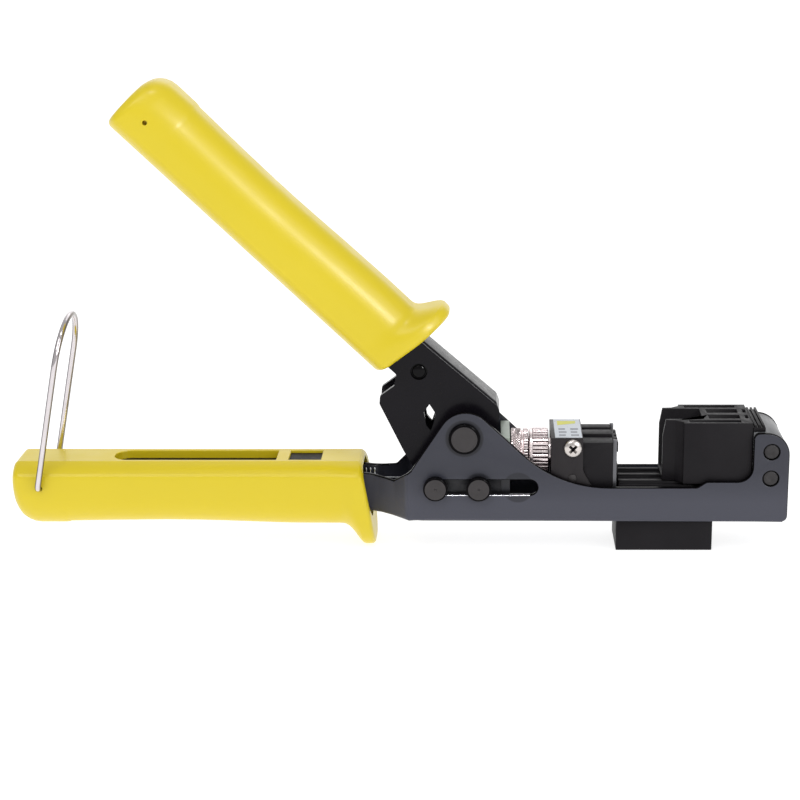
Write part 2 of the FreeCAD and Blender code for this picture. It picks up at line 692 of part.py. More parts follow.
def revolved(name, steps, bore):
    """A turned part on the stud's axis, from (start, end, radius) steps, with a through bore."""
    body = new_body(name)
    section = new_sketch(body, "section", "XZ_Plane")
    outline = [(steps[0][0], bore)]
    for start, finish, radius in steps:
        outline += [(start, radius), (finish, radius)]
    outline.append((steps[-1][1], bore))
    polygon(section, outline)
    turned = body.newObject("PartDesign::Revolution", "turned")
    turned.Profile = section
    turned.ReferenceAxis = (section, ["H_Axis"])
    turned.Angle = 360.0
    body.Placement = FreeCAD.Placement(FreeCAD.Vector(0, 0, size["stud_up"]), FreeCAD.Rotation())
    body.setExpression("Placement.Base.z", "dims.stud_up")
    doc.recompute()


def make_knurled_parts():
    knurl = ("knurl_radius", 0)
    bore = ("stud_radius", 0.05)
    groove = ("knurl_radius", -0.9)
    revolved("lock_nut", [(36.5, 40.2, knurl), (40.2, 40.7, groove), (40.7, 42.5, knurl)], bore)
    revolved("adjusting_barrel", [(42.8, 49.2, ("barrel_radius", 0)), (49.2, 52.2, 5.0)], bore)
    revolved("barrel_clip", [(51.1, 51.9, 6.2)], 5.02)


# ---------------------------------------------------------------- die carrier

def make_die_bracket():
    """Folded cover: a back plate on the barrel's neck, a top and two side plates."""
    body = new_body("die_bracket")
    side = new_sketch(body, "side_outline", "XZ_Plane")
    polygon(side, [
        (("bracket_left", 0), 17.0), (64.2, 17.0), (63.6, 23.0), (("bracket_right", 0), 28.5),
        (("bracket_right", 0), ("bracket_top", 0)), (("bracket_left", 0), ("bracket_top", 0)),
    ])
    extrude(body, "Pad", "blank", side, 2 * size["bracket_half"], symmetric=True)
    round_edges(body, "curl", [(("bracket_right", 0), 28.5)], 5.0)
    inside = new_sketch(body, "inside_outline", "XZ_Plane")
    gauge = size["bracket_gauge"]
    rectangle(inside, ("bracket_left", gauge), 70.0, 10.0, ("bracket_top", -gauge))
    extrude(body, "Pocket", "inside", inside, 2 * (size["bracket_half"] - gauge), symmetric=True)
    neck = new_sketch(body, "neck_outline", "YZ_Plane", ("bracket_left", 0))
    circle(neck, 0, ("stud_up", 0), 5.08)
    extrude(body, "Pocket", "neck_hole", neck, 2.0, upwards=True)
    holes = new_sketch(body, "side_holes_outline", "XZ_Plane")
    circle(holes, ("screw_along", 0), ("screw_up", 0), 1.35)
    circle(holes, 57.0, 25.9, 1.39)
    extrude(body, "Pocket", "side_holes", holes, symmetric=True)


def make_punch_die():
    """Die block that straddles the base block's ridges, stepped along its top."""
    body = new_body("punch_die")
    section = new_sketch(body, "section", "YZ_Plane", 52.6)
    half = size["die_half"]
    top = ("die_top", 0)
    groove = ("die_top", -0.9)
    step = ("die_top", -0.5)
    polygon(section, [
        (-half, 18.0), (-8.9, 18.0), (-8.9, 24.3), (8.9, 24.3), (8.9, 18.0), (half, 18.0),
        (half, top), (6.2, top), (6.2, groove), (3.6, groove), (3.6, top), (-1.6, top),
        (-1.6, groove), (-4.2, groove), (-4.2, step), (-half, step),
    ])
    extrude(body, "Pad", "block", section, ("die_right", -1.1 - 52.6))
    bore = new_sketch(body, "stud_bore_outline", "YZ_Plane", 52.0)
    circle(bore, 0, ("stud_up", 0), 4.3)
    extrude(body, "Pocket", "stud_bore", bore, 3.5, upwards=True)
    holes = new_sketch(body, "cross_hole_outline", "XZ_Plane")
    circle(holes, 57.0, 25.9, 1.39)
    circle(holes, ("screw_along", 0), ("screw_up", 0), 1.3)
    extrude(body, "Pocket", "cross_holes", holes, symmetric=True)


def make_die_details():
    blades = [slab(f"trim_blade_{name}", (("die_right", -1.05), low, 18.4),
                   (("die_right", 0.2), high, ("die_top", 0.4)))
              for name, low, high in (("near", -10.4, -9.1), ("far", 9.1, 10.4))]
    keep(join("trim_blade_pair", blades), "trim_blades")
    plate = slab("comb_plate", (("die_right", -1.05), -8.6, 25.0), (("die_right", -0.3), 8.6, 38.0))
    teeth = [slab(f"comb_tooth_{column}_{row}",
                  (("die_right", -0.4), -7.6 + 4.2 * column, 26.0 + 8.0 * row),
                  (("die_right", 0.8), -5.0 + 4.2 * column, 29.4 + 8.0 * row))
             for column in range(4) for row in range(2)]
    keep(join("comb_body", [plate] + teeth), "punch_comb")
    screws = []
    for hand, name in ((-1, "near"), (1, "far")):
        face = size["bracket_half"] + 0.02
        low = min(hand * face, hand * (face + 1.5))
        head = rod(f"die_screw_head_{name}", "y", 3.1, 1.5, (("screw_along", 0), low, ("screw_up", 0)))
        low = min(hand * 6.5, hand * (face + 0.5))
        shank = rod(f"die_screw_shank_{name}", "y", 1.25, face + 0.5 - 6.5,
                    (("screw_along", 0), low, ("screw_up", 0)))
        screws.append(join(f"die_screw_{name}", [head, shank]))
    keep(join("die_screw_pair", screws), "die_screws")
    length = 2 * size["bracket_half"]
    keep(rod("bracket_pin_body", "y", 1.35, length, (57.0, -length / 2, 25.9)), "bracket_pin")
    keep(slab("label_plate", (("bracket_left", 1.3), -10.9, ("bracket_top", 0)),
              (("bracket_right", -0.3), 10.9, ("bracket_top", 0.15))), "spec_label")


# ---------------------------------------------------------------- bail

def make_bail():
    """Wire loop whose legs straddle the lower grip and turn in through its sides."""
    wire = ("bail_wire", 0)
    arch = doc.addObject("Part::Torus", "bail_arch")
    arch.Angle3 = 180
    bind(arch, "Radius1", ("bail_half", 0))
    bind(arch, "Radius2", wire)
    stand = FreeCAD.Rotation(FreeCAD.Vector(1, 1, 1), 120)
    arch.Placement = FreeCAD.Placement(FreeCAD.Vector(0, 0, size["bail_leg"]), stand)
    pieces = [arch]
    for hand, name in ((-1, "near"), (1, "far")):
        side = hand * size["bail_half"]
        pieces.append(rod(f"bail_leg_{name}", "z", wire, ("bail_leg", 0), (0, side, 0)))
        knee = doc.addObject("Part::Sphere", f"bail_knee_{name}")
        bind(knee, "Radius", wire)
        pieces.append(put(knee, (0, side, 0)))
        start = min(side, hand * 10.9)
        pieces.append(rod(f"bail_end_{name}", "y", wire, size["bail_half"] - 10.9, (0, start, 0)))
    bail = keep(join("bail_loop", pieces), "bail")
    lean = FreeCAD.Rotation(FreeCAD.Vector(0, 1, 0), size["bail_lean"])
    bail.Placement = FreeCAD.Placement(FreeCAD.Vector(size["bail_along"], 0, size["bail_up"]), lean)
    bail.setExpression("Placement.Base.x", "dims.bail_along")
    bail.setExpression("Placement.Base.z", "dims.bail_up")
    bail.setExpression("Placement.Rotation.Angle", "dims.bail_lean")


make_frame_channel()
make_end_block()
make_end_rivets()
make_base_block()
make_jack_holder()
make_holder_retainer()
make_holder_screws()
make_lower_grip()
make_pivot()
make_spring_and_anchor()
make_lever_channel()
make_upper_grip()
make_lever_pins()
make_ram_yoke()
make_slot_pins()
make_adjusting_stud()
make_knurled_parts()
make_die_bracket()
make_punch_die()
make_die_details()
make_bail()
doc.recompute()

# ---------------------------------------------------------------- checks and export

for item in doc.Objects:
    if "Invalid" in item.State or "Error" in item.State:
        raise RuntimeError(f"{item.Name} did not recompute: {item.State}")
for part in sub_parts:
    if part.Shape.isNull() or not part.Shape.isValid() or not part.Shape.Solids:
        raise RuntimeError(f"{part.Label} has no valid solid")

os.makedirs("parts", exist_ok=True)
for part in sub_parts:
    part.Shape.exportStep(os.path.join("parts", f"{part.Label}.step"))
    box = part.Shape.BoundBox
    print(f"{part.Label:18s} {len(part.Shape.Solids)} solids  {part.Shape.Volume:9.1f} mm3  "
          f"x {box.XMin:7.2f} {box.XMax:7.2f}  y {box.YMin:7.2f} {box.YMax:7.2f}  "
          f"z {box.ZMin:7.2f} {box.ZMax:7.2f}")
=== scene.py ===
import json
import math
from collections import namedtuple

import bmesh
import bpy
from mathutils import Matrix, Vector


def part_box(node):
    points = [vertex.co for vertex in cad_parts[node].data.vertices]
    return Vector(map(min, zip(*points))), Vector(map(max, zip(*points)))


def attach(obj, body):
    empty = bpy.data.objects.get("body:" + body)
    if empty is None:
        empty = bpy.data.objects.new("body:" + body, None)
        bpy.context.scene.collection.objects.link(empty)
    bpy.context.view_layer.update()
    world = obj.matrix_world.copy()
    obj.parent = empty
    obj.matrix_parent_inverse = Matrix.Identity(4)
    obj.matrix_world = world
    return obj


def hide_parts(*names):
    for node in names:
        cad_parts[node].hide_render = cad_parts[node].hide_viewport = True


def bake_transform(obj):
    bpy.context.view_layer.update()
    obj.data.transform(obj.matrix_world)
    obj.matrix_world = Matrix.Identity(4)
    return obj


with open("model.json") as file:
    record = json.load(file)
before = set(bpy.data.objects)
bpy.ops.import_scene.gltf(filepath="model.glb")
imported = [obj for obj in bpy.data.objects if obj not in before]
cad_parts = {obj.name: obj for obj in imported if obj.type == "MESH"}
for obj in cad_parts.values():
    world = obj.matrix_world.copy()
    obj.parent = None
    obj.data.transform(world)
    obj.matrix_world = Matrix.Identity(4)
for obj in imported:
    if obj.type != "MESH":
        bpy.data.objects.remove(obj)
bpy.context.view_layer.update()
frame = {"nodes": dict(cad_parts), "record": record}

# Lengths below are millimetres in the CAD's frame, and MM turns them into Blender's metres.
MM = 0.001


def centre_of(node):
    """The middle of a CAD node's box, in millimetres."""
    low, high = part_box(node)
    return (low + high) / 2 / MM


FRAME_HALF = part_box("frame_channel")[1].y / MM
PIVOT = centre_of("pivot_pin")
DRIVE = centre_of("drive_pin")
GUIDE = centre_of("guide_pin")
HANDLE_TURN = math.radians(43.87)
BAIL_LEAN = math.radians(11.0)
RAM_TRAVEL = 13.1


# ---------------------------------------------------------------- materials

def linear(*rgb):
    """A colour given as 0-255 display values, as the shader wants it."""
    found = [(v / 255 / 12.92) if v <= 10 else ((v / 255 + 0.055) / 1.055) ** 2.4 for v in rgb]
    return tuple(found) + (1.0,)


# The Mix node's sockets for colours: the names repeat for each kind of value, so these go by number.
MIX_FACTOR, MIX_FIRST, MIX_SECOND, MIX_RESULT = 0, 6, 7, 2

# Noise rarely leaves this range, so it is spread out from here.
NOISE_LOW, NOISE_HIGH = 0.3, 0.7


class Surface:
    """A Principled material whose colour, roughness and relief vary by object-space noise."""

    def __init__(self, name, colour, rough, metal=0.0, tone=0.08, patch=45.0, spread=0.06,
                 relief=0.02, grain=1400.0, coat=0.0, coat_rough=0.12, specular=0.5, stretch=(1, 1, 1)):
        self.material = bpy.data.materials.new(name)
        self.material.use_nodes = True
        self.nodes = self.material.node_tree.nodes
        self.links = self.material.node_tree.links
        self.shader = self.nodes["Principled BSDF"]
        self.shader.inputs["Metallic"].default_value = metal
        self.shader.inputs["Coat Weight"].default_value = coat
        self.shader.inputs["Coat Roughness"].default_value = coat_rough
        self.shader.inputs["Specular IOR Level"].default_value = specular
        place = self.nodes.new("ShaderNodeTexCoord")
        self.mapping = self.nodes.new("ShaderNodeMapping")
        self.mapping.inputs["Scale"].default_value = stretch
        self.links.new(place.outputs["Object"], self.mapping.inputs["Vector"])
        cloud = self.noise(patch, 4.0)
        self.colour = self.ramp(cloud, self.shade(colour, 1 - tone), self.shade(colour, 1 + tone))
        self.links.new(self.colour, self.shader.inputs["Base Color"])
        speckle = self.noise(patch * 7, 6.0)
        roughness = self.spread(speckle, NOISE_LOW, NOISE_HIGH, rough - spread, rough + spread)
        self.links.new(roughness, self.shader.inputs["Roughness"])
        height = self.noise(grain, 3.0)
        bump = self.nodes.new("ShaderNodeBump")
        bump.inputs["Strength"].default_value = 0.5
        bump.inputs["Distance"].default_value = relief * MM
        self.links.new(height, bump.inputs["Height"])
        self.links.new(bump.outputs["Normal"], self.shader.inputs["Normal"])

    @staticmethod
    def shade(colour, factor):
        """A colour made lighter or darker."""
        return tuple(min(1.0, c * factor) for c in colour[:3]) + (1.0,)

    def noise(self, scale, detail):
        """A noise value at each place on the object; a larger scale makes finer noise."""
        node = self.nodes.new("ShaderNodeTexNoise")
        node.inputs["Scale"].default_value = scale
        node.inputs["Detail"].default_value = detail
        self.links.new(self.mapping.outputs["Vector"], node.inputs["Vector"])
        return node.outputs["Fac"]

    def ramp(self, value, low_colour, high_colour):
        """Fades from one colour to another as a noise value rises."""
        node = self.nodes.new("ShaderNodeValToRGB")
        stops = ((NOISE_LOW, low_colour), (NOISE_HIGH, high_colour))
        for element, (position, colour) in zip(node.color_ramp.elements, stops):
            element.position = position
            element.color = colour
        self.links.new(value, node.inputs["Fac"])
        return node.outputs["Color"]

    def spread(self, value, low, high, to_low, to_high):
        """Maps the range low to high onto to_low to to_high."""
        node = self.nodes.new("ShaderNodeMapRange")
        for key, number in (("From Min", low), ("From Max", high), ("To Min", to_low), ("To Max", to_high)):
            node.inputs[key].default_value = number
        self.links.new(value, node.inputs["Value"])
        return node.outputs["Result"]

    def cover(self, factor, colour):
        """Lays a plain colour over the one so far, as much as factor says."""
        node = self.nodes.new("ShaderNodeMix")
        node.data_type = "RGBA"
        self.links.new(factor, node.inputs[MIX_FACTOR])
        self.links.new(self.colour, node.inputs[MIX_FIRST])
        node.inputs[MIX_SECOND].default_value = colour
        self.colour = node.outputs[MIX_RESULT]
        self.links.new(self.colour, self.shader.inputs["Base Color"])

    def wear_and_shade_disc(self, along, up, radius, colour, strength):
        """A faint darker disc round a pin's axis, which runs along Y: used both for rubbed marks and for
        painted shade round a pin head.
        """
        flat = self.nodes.new("ShaderNodeVectorMath")
        flat.operation = "MULTIPLY"
        flat.inputs[1].default_value = (1, 0, 1)
        place = self.nodes.new("ShaderNodeTexCoord")
        self.links.new(place.outputs["Object"], flat.inputs[0])
        away = self.nodes.new("ShaderNodeVectorMath")
        away.operation = "DISTANCE"
        away.inputs[1].default_value = (along * MM, 0, up * MM)
        self.links.new(flat.outputs["Vector"], away.inputs[0])
        disc = self.spread(away.outputs["Value"], (radius - 0.35) * MM, (radius + 0.1) * MM, strength, 0.0)
        self.cover(disc, colour)

    def painted_reflection_side(self, start, finish, colour):
        """Paints a reflection: turns to another colour as the surface's normal goes from start to finish
        along X.
        """
        face = self.nodes.new("ShaderNodeNewGeometry")
        split = self.nodes.new("ShaderNodeSeparateXYZ")
        self.links.new(face.outputs["Normal"], split.inputs["Vector"])
        side = self.spread(split.outputs["X"], start, finish, 0.0, 1.0)
        self.cover(side, colour)

    def painted_shading_below(self, up, fade, colour):
        """Paints shading: turns to a lighter or darker colour below a height, over a fade."""
        place = self.nodes.new("ShaderNodeTexCoord")
        split = self.nodes.new("ShaderNodeSeparateXYZ")
        self.links.new(place.outputs["Object"], split.inputs["Vector"])
        low = self.spread(split.outputs["Z"], (up - fade) * MM, up * MM, 1.0, 0.0)
        self.cover(low, colour)


YELLOW = Surface("yellow_moulding", linear(223, 200, 22), 0.40, tone=0.02, patch=18, relief=0.012, grain=900,
                 coat=0.35, coat_rough=0.26, specular=0.35).material
# Near-black painted shade for the walls and floor of the grip's slot and window, standing in for the shadow
# down to the tang.
RECESS_SHADE = Surface("grip_recess_shade", linear(16, 14, 12), 0.5, tone=0.2, patch=60, relief=0.03, grain=1800,
                 specular=0.2).material
FRAME_COAT = Surface("frame_coat", linear(53, 54, 64), 0.38, tone=0.10, patch=60, spread=0.08, relief=0.02,
                     grain=2600, specular=0.35, stretch=(0.35, 1, 1))
# Painted light: the frame's sides turn lighter low down, standing in for light thrown up from the floor.
FRAME_COAT.painted_shading_below(28.0, 10.0, linear(67, 68, 79))
# Painted shade: a dark ring round the pivot's head, standing in for its shadow on the frame.
FRAME_COAT.wear_and_shade_disc(PIVOT.x, PIVOT.z, radius=6.4, colour=linear(22, 22, 27), strength=0.7)
# Rubbed marks left by the guide pin's head at its closed and open places.
FRAME_COAT.wear_and_shade_disc(GUIDE.x + RAM_TRAVEL, GUIDE.z, radius=5.3, colour=linear(22, 22, 27), strength=0.6)
FRAME_COAT.wear_and_shade_disc(GUIDE.x, GUIDE.z, radius=5.1, colour=linear(22, 22, 27), strength=0.6)
FRAME_COAT = FRAME_COAT.material
# Near-black painted shade, laid on the frame's cut edges, the rims of the pins' heads and the screws' cross
# recesses.
EDGE_SHADE = Surface("painted_shade_edge", linear(8, 7, 9), 0.2, tone=0.1, patch=90, spread=0.05, relief=0.004,
                     grain=1800, specular=0.05).material
LEVER_COAT = Surface("lever_coat", linear(18, 16, 21), 0.24, tone=0.15, patch=70, relief=0.008, grain=2400,
                     specular=0.14).material
BUTTON = Surface("rivet_button", linear(8, 7, 9), 0.16, tone=0.1, patch=200, relief=0.002, grain=1800,
                 specular=0.12).material
# Painted shade for the knurls' grooves: a darker metal in the roots.
KNURL_ROOT_SHADE = Surface("knurl_root_shade", linear(128, 110, 114), 0.4, metal=0.8, tone=0.08, patch=260, relief=0.01,
                     grain=2600).material
BLACK = Surface("black_moulding", linear(28, 26, 29), 0.44, tone=0.12, patch=80, relief=0.04, grain=2200,
                specular=0.12).material
DARK_PIN = Surface("dark_pin", linear(58, 55, 56), 0.46, metal=0.1, tone=0.10, patch=300, relief=0.03,
                   grain=2600, specular=0.3).material
RIVET = Surface("rivet_steel", linear(52, 50, 51), 0.42, metal=0.2, tone=0.22, patch=420, relief=0.07,
                grain=2000, specular=0.3).material
GREY_BLOCK = Surface("grey_block", linear(104, 105, 108), 0.36, metal=0.25, tone=0.05, patch=90, relief=0.02,
                     grain=3000, stretch=(1, 0.2, 1)).material
YOKE = Surface("yoke_zinc", linear(150, 160, 150), 0.42, metal=0.3, tone=0.06, patch=140, relief=0.02,
               grain=1800)
# Painted shade: the yoke's bars below the channel's top edge turn darker, standing in for the shade inside
# the channel.
YOKE.painted_shading_below(28.6, 3.0, linear(38, 38, 42))
YOKE = YOKE.material
STEEL = Surface("plain_steel", linear(150, 152, 156), 0.3, metal=1.0, tone=0.08, patch=160, relief=0.01,
                grain=2600).material
# Painted highlight: a near-white metal on the slot's lower edge, standing in for the bright line of light
# along it.
SLOT_HIGHLIGHT = Surface("slot_painted_highlight", linear(232, 232, 240), 0.22, metal=1.0, tone=0.04, patch=300, relief=0.004,
                grain=2600).material
NICKEL = Surface("nickel_knurl", linear(238, 226, 226), 0.26, metal=1.0, tone=0.05, patch=260, relief=0.012,
                 grain=3000).material
CHROME = Surface("bail_chrome", linear(214, 208, 210), 0.14, metal=1.0, tone=0.05, patch=120, relief=0.004,
                 grain=900)
# Chrome mirrors what stands beside it, so a painted reflection makes the wire's two sides darker than its
# front.
CHROME.painted_reflection_side(-0.42, -0.78, linear(58, 50, 58))
CHROME.painted_reflection_side(0.5, 0.85, linear(120, 112, 104))
CHROME = CHROME.material
SCREW = Surface("screw_chrome", linear(206, 200, 196), 0.24, metal=1.0, tone=0.06, patch=300, relief=0.01,
                grain=2600).material
BLADE = Surface("blade_steel", linear(104, 104, 108), 0.36, metal=0.8, tone=0.08, patch=200, relief=0.01,
                grain=3000, stretch=(1, 1, 0.15)).material
BRACKET = Surface("bracket_steel", linear(44, 41, 43), 0.34, tone=0.12, patch=90, relief=0.02, grain=2400,
                  specular=0.16).material
LABEL = Surface("label_film", linear(196, 202, 210), 0.32, tone=0.03, patch=120, relief=0.006,
                grain=1600).material
LABEL_YELLOW = Surface("label_yellow", linear(206, 204, 60), 0.4, tone=0.05, patch=200, relief=0.004,
                       grain=1600).material
LABEL_GREY = Surface("label_grey", linear(136, 140, 150), 0.45, tone=0.05, patch=200, relief=0.004,
                     grain=1600).material


# ---------------------------------------------------------------- mesh helpers, all in millimetres

WELD = 0.0005
CAD_WELD = 0.002
FLAT_ANGLE = 0.6


def piece(name, bm, body, material, stands_for=(), sharp=32.0, more=()):
    """Turns a bmesh in millimetres into a shown piece that rides on a CAD body."""
    bmesh.ops.remove_doubles(bm, verts=bm.verts, dist=WELD)
    bmesh.ops.recalc_face_normals(bm, faces=bm.faces)
    bmesh.ops.scale(bm, vec=(MM, MM, MM), verts=bm.verts)
    mesh = bpy.data.meshes.new(name)
    bm.to_mesh(mesh)
    bm.free()
    for surface in (material, *more):
        mesh.materials.append(surface)
    mesh.shade_smooth()
    mesh.set_sharp_from_angle(angle=math.radians(sharp))
    obj = bpy.data.objects.new(name, mesh)
    bpy.context.scene.collection.objects.link(obj)
    if stands_for:
        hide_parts(*stands_for)
    if body:
        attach(obj, body)
    return obj


def from_cad(node):
    """A CAD node's own mesh in millimetres, its flat faces joined up again."""
    bm = bmesh.new()
    bm.from_mesh(frame["nodes"][node].data)
    bmesh.ops.scale(bm, vec=(1 / MM, 1 / MM, 1 / MM), verts=bm.verts)
    bmesh.ops.remove_doubles(bm, verts=bm.verts, dist=CAD_WELD)
    bmesh.ops.dissolve_limit(bm, angle_limit=math.radians(FLAT_ANGLE), verts=bm.verts, edges=bm.edges)
    for face in bm.faces:
        face.material_index = 0
    return bm


def joint_place(name):
    """A joint's place from the record, in millimetres."""
    joint = next(j for j in frame["record"]["behaviour"]["joints"] if j["name"] == name)
    return Vector(joint["pos_m"]) / MM


def soften(bm, width, segments=2, angle=35.0, chosen=None, clamp=True):
    """Rounds the edges that turn by more than an angle, or only those that chosen picks out."""
    bm.normal_update()
    limit = math.radians(angle)
    edges = [e for e in bm.edges if len(e.link_faces) == 2 and e.calc_face_angle(0.0) > limit]
    if chosen:
        edges = [e for e in edges if chosen(e)]
    bmesh.ops.bevel(bm, geom=edges, offset=width, offset_type="OFFSET", segments=segments, profile=0.5,
                    affect="EDGES", clamp_overlap=clamp)
    return bm


def merge(*parts):
    """One bmesh from several."""
    whole = bmesh.new()
    for part in parts:
        mesh = bpy.data.meshes.new("part")
        part.to_mesh(mesh)
        part.free()
        whole.from_mesh(mesh)
        bpy.data.meshes.remove(mesh)
    return whole


def carve(bm, *cutters):
    """bm with the cutters' volumes taken away."""
    objects = []
    for part in (bm,) + cutters:
        mesh = bpy.data.meshes.new("carve")
        bmesh.ops.recalc_face_normals(part, faces=part.faces)
        part.to_mesh(mesh)
        part.free()
        obj = bpy.data.objects.new("carve", mesh)
        bpy.context.scene.collection.objects.link(obj)
        objects.append(obj)
    for cutter in objects[1:]:
        modifier = objects[0].modifiers.new("cut", "BOOLEAN")
        modifier.operation = "DIFFERENCE"
        modifier.solver = "EXACT"
        modifier.object = cutter
    view = bpy.context.evaluated_depsgraph_get()
    carved = bmesh.new()
    carved.from_object(objects[0], view)
    for obj in objects:
        mesh = obj.data
        bpy.data.objects.remove(obj)
        bpy.data.meshes.remove(mesh)
    return carved


def block(low, high, width=0.0, segments=2):
    """A box between two corners with rounded edges."""
    bm = bmesh.new()
    bmesh.ops.create_cube(bm, size=1.0)
    low, high = Vector(low), Vector(high)
    for vert in bm.verts:
        vert.co = Vector(low[k] + (vert.co[k] + 0.5) * (high[k] - low[k]) for k in range(3))
    return soften(bm, width, segments) if width else bm


def bridge(bm, before, after):
    """Faces between two rings of the same number of corners."""
    count = len(before)
    made = []
    for side in range(count):
        beside = (side + 1) % count
        made.append(bm.faces.new([before[side], before[beside], after[beside], after[side]]))
    return made


AXES = {
    "x": (Vector((1, 0, 0)), Vector((0, 1, 0)), Vector((0, 0, 1))),
    "y": (Vector((0, 1, 0)), Vector((0, 0, 1)), Vector((1, 0, 0))),
    "z": (Vector((0, 0, 1)), Vector((1, 0, 0)), Vector((0, 1, 0))),
}


def turned(profile, origin, axis="y", sides=64, cut=None):
    """A lathe shape from (along, radius) pairs; cut(along, angle) is taken off the radius."""
    forward, first, second = AXES[axis]
    origin = Vector(origin)
    bm = bmesh.new()
    rings = []
    for along, radius in profile:
        if radius == 0:
            rings.append([bm.verts.new(origin + forward * along)])
            continue
        ring = []
        for side in range(sides):
            angle = 2 * math.pi * side / sides
            reach = radius - (cut(along, angle) if cut else 0.0)
            out = first * math.cos(angle) + second * math.sin(angle)
            ring.append(bm.verts.new(origin + forward * along + out * reach))
        rings.append(ring)
    for before, after in zip(rings, rings[1:]):
        for side in range(sides):
            beside = (side + 1) % sides
            corners = [before[side % len(before)], before[beside % len(before)],
                       after[beside % len(after)], after[side % len(after)]]
            kept = list(dict.fromkeys(corners))
            if len(kept) > 2:
                bm.faces.new(kept)
    closed = profile[0] == profile[-1]
    for ring in (rings[0], rings[-1]):
        if len(ring) > 1 and not closed:
            bm.faces.new(ring)
    if closed:
        bmesh.ops.remove_doubles(bm, verts=rings[0] + rings[-1], dist=WELD)
    return bm


def tube(path, radius, sides):
    """A round bar along a path of points, its section carried along without twisting."""
    points = [Vector(p) for p in path]
    bm = bmesh.new()
    rings = []
    normal = None
    for index, point in enumerate(points):
        before = points[max(index - 1, 0)]
        after = points[min(index + 1, len(points) - 1)]
        tangent = (after - before).normalized()
        if normal is None:
            helper = Vector((0, 0, 1)) if abs(tangent.z) < 0.9 else Vector((1, 0, 0))
            normal = tangent.cross(helper).normalized()
        normal = (normal - tangent * normal.dot(tangent)).normalized()
        binormal = tangent.cross(normal)
        ring = []
        for side in range(sides):
            angle = 2 * math.pi * side / sides
            out = normal * math.cos(angle) + binormal * math.sin(angle)
            ring.append(bm.verts.new(point + out * radius))
        rings.append(ring)
    for before, after in zip(rings, rings[1:]):
        bridge(bm, before, after)
    for ring in (rings[0], rings[-1]):
        bm.faces.new(ring)
    return bm


def arc(centre, radius, start, stop, steps):
    """Points (across, up) on an arc, its angles in degrees."""
    found = []
    for step in range(steps + 1):
        angle = math.radians(start + (stop - start) * step / steps)
        found.append((centre[0] + radius * math.cos(angle), centre[1] + radius * math.sin(angle)))
    return found


def smooth(t):
    """0 below t = 0 and 1 above t = 1, with a smooth step between."""
    t = min(max(t, 0.0), 1.0)
    return t * t * (3 - 2 * t)


# ---------------------------------------------------------------- grips

GRIP_THICK = 22.0
GRIP_HALF = 13.0
FLAT_HALF = 7.0
SHOULDER_DEPTH = 4.6
SHOULDER_START = math.radians(35)
BACK_FLAT = 3.0
BACK_DEPTH = 13.0
REAR_PLAN = 2.6
REAR_INNER = 1.9
REAR_OUTER = 7.8
GUARD_RISE = 7.4
GUARD_LENGTH = 8.2
GUARD_BACK = 11.6
GUARD_FLARE = 0.8
LIP_ROUND = 1.6
FRONT_SLANT = 0.168
SECTION_STEPS = 6
DOME_STEPS = 10
WAIST_START = 18.0
WAIST_LENGTH = 74.0
WAIST_DEPTH = 0.4
SIDE_WAIST = 0.25
SWELL_START = 50.0
SWELL_LENGTH = 50.0
SWELL_RISE = 0.8
HEEL_RISE = 0.35
HEEL_END = 16.5
HEEL_FADE = 1.5
SLANT_START = 85
SLANT_LENGTH = 25
SLANT_BREAK = 19.0
SLANT_EASE = 0.6
COLUMN_HALF = 5.0
NARROWEST = 0.06
MOUTH_WALL = 2.3
MOUTH_RIM = 0.3
MOUTH_DEPTH = 22.0

# A recess in the inner face: where it starts and ends along the grip, its half width, the length of its
# rounded rear end, and its depth.
Slot = namedtuple("Slot", "start finish half taper depth")
LONG_SLOT = Slot(32.5, 87.5, 5.3, 5.0, 2.7)
WINDOW = Slot(91.7, 102.6, 5.2, 0.0, 0.9)


def slot_half(u, slots):
    """Half width of the face column that a recess at u takes up."""
    for slot in slots:
        if slot.start - 0.01 <= u <= slot.finish + 0.01:
            short = max(slot.taper - (u - slot.start), 0.0) / slot.taper if slot.taper else 0.0
            return slot.half * max(math.sqrt(1 - min(short, 1.0) ** 2), NARROWEST)
    return COLUMN_HALF


def rear_inset(u, radius):
    """How far a rounded rear end stands back at u from it."""
    short = max(radius - u, 0.0)
    return radius - math.sqrt(radius ** 2 - short ** 2)


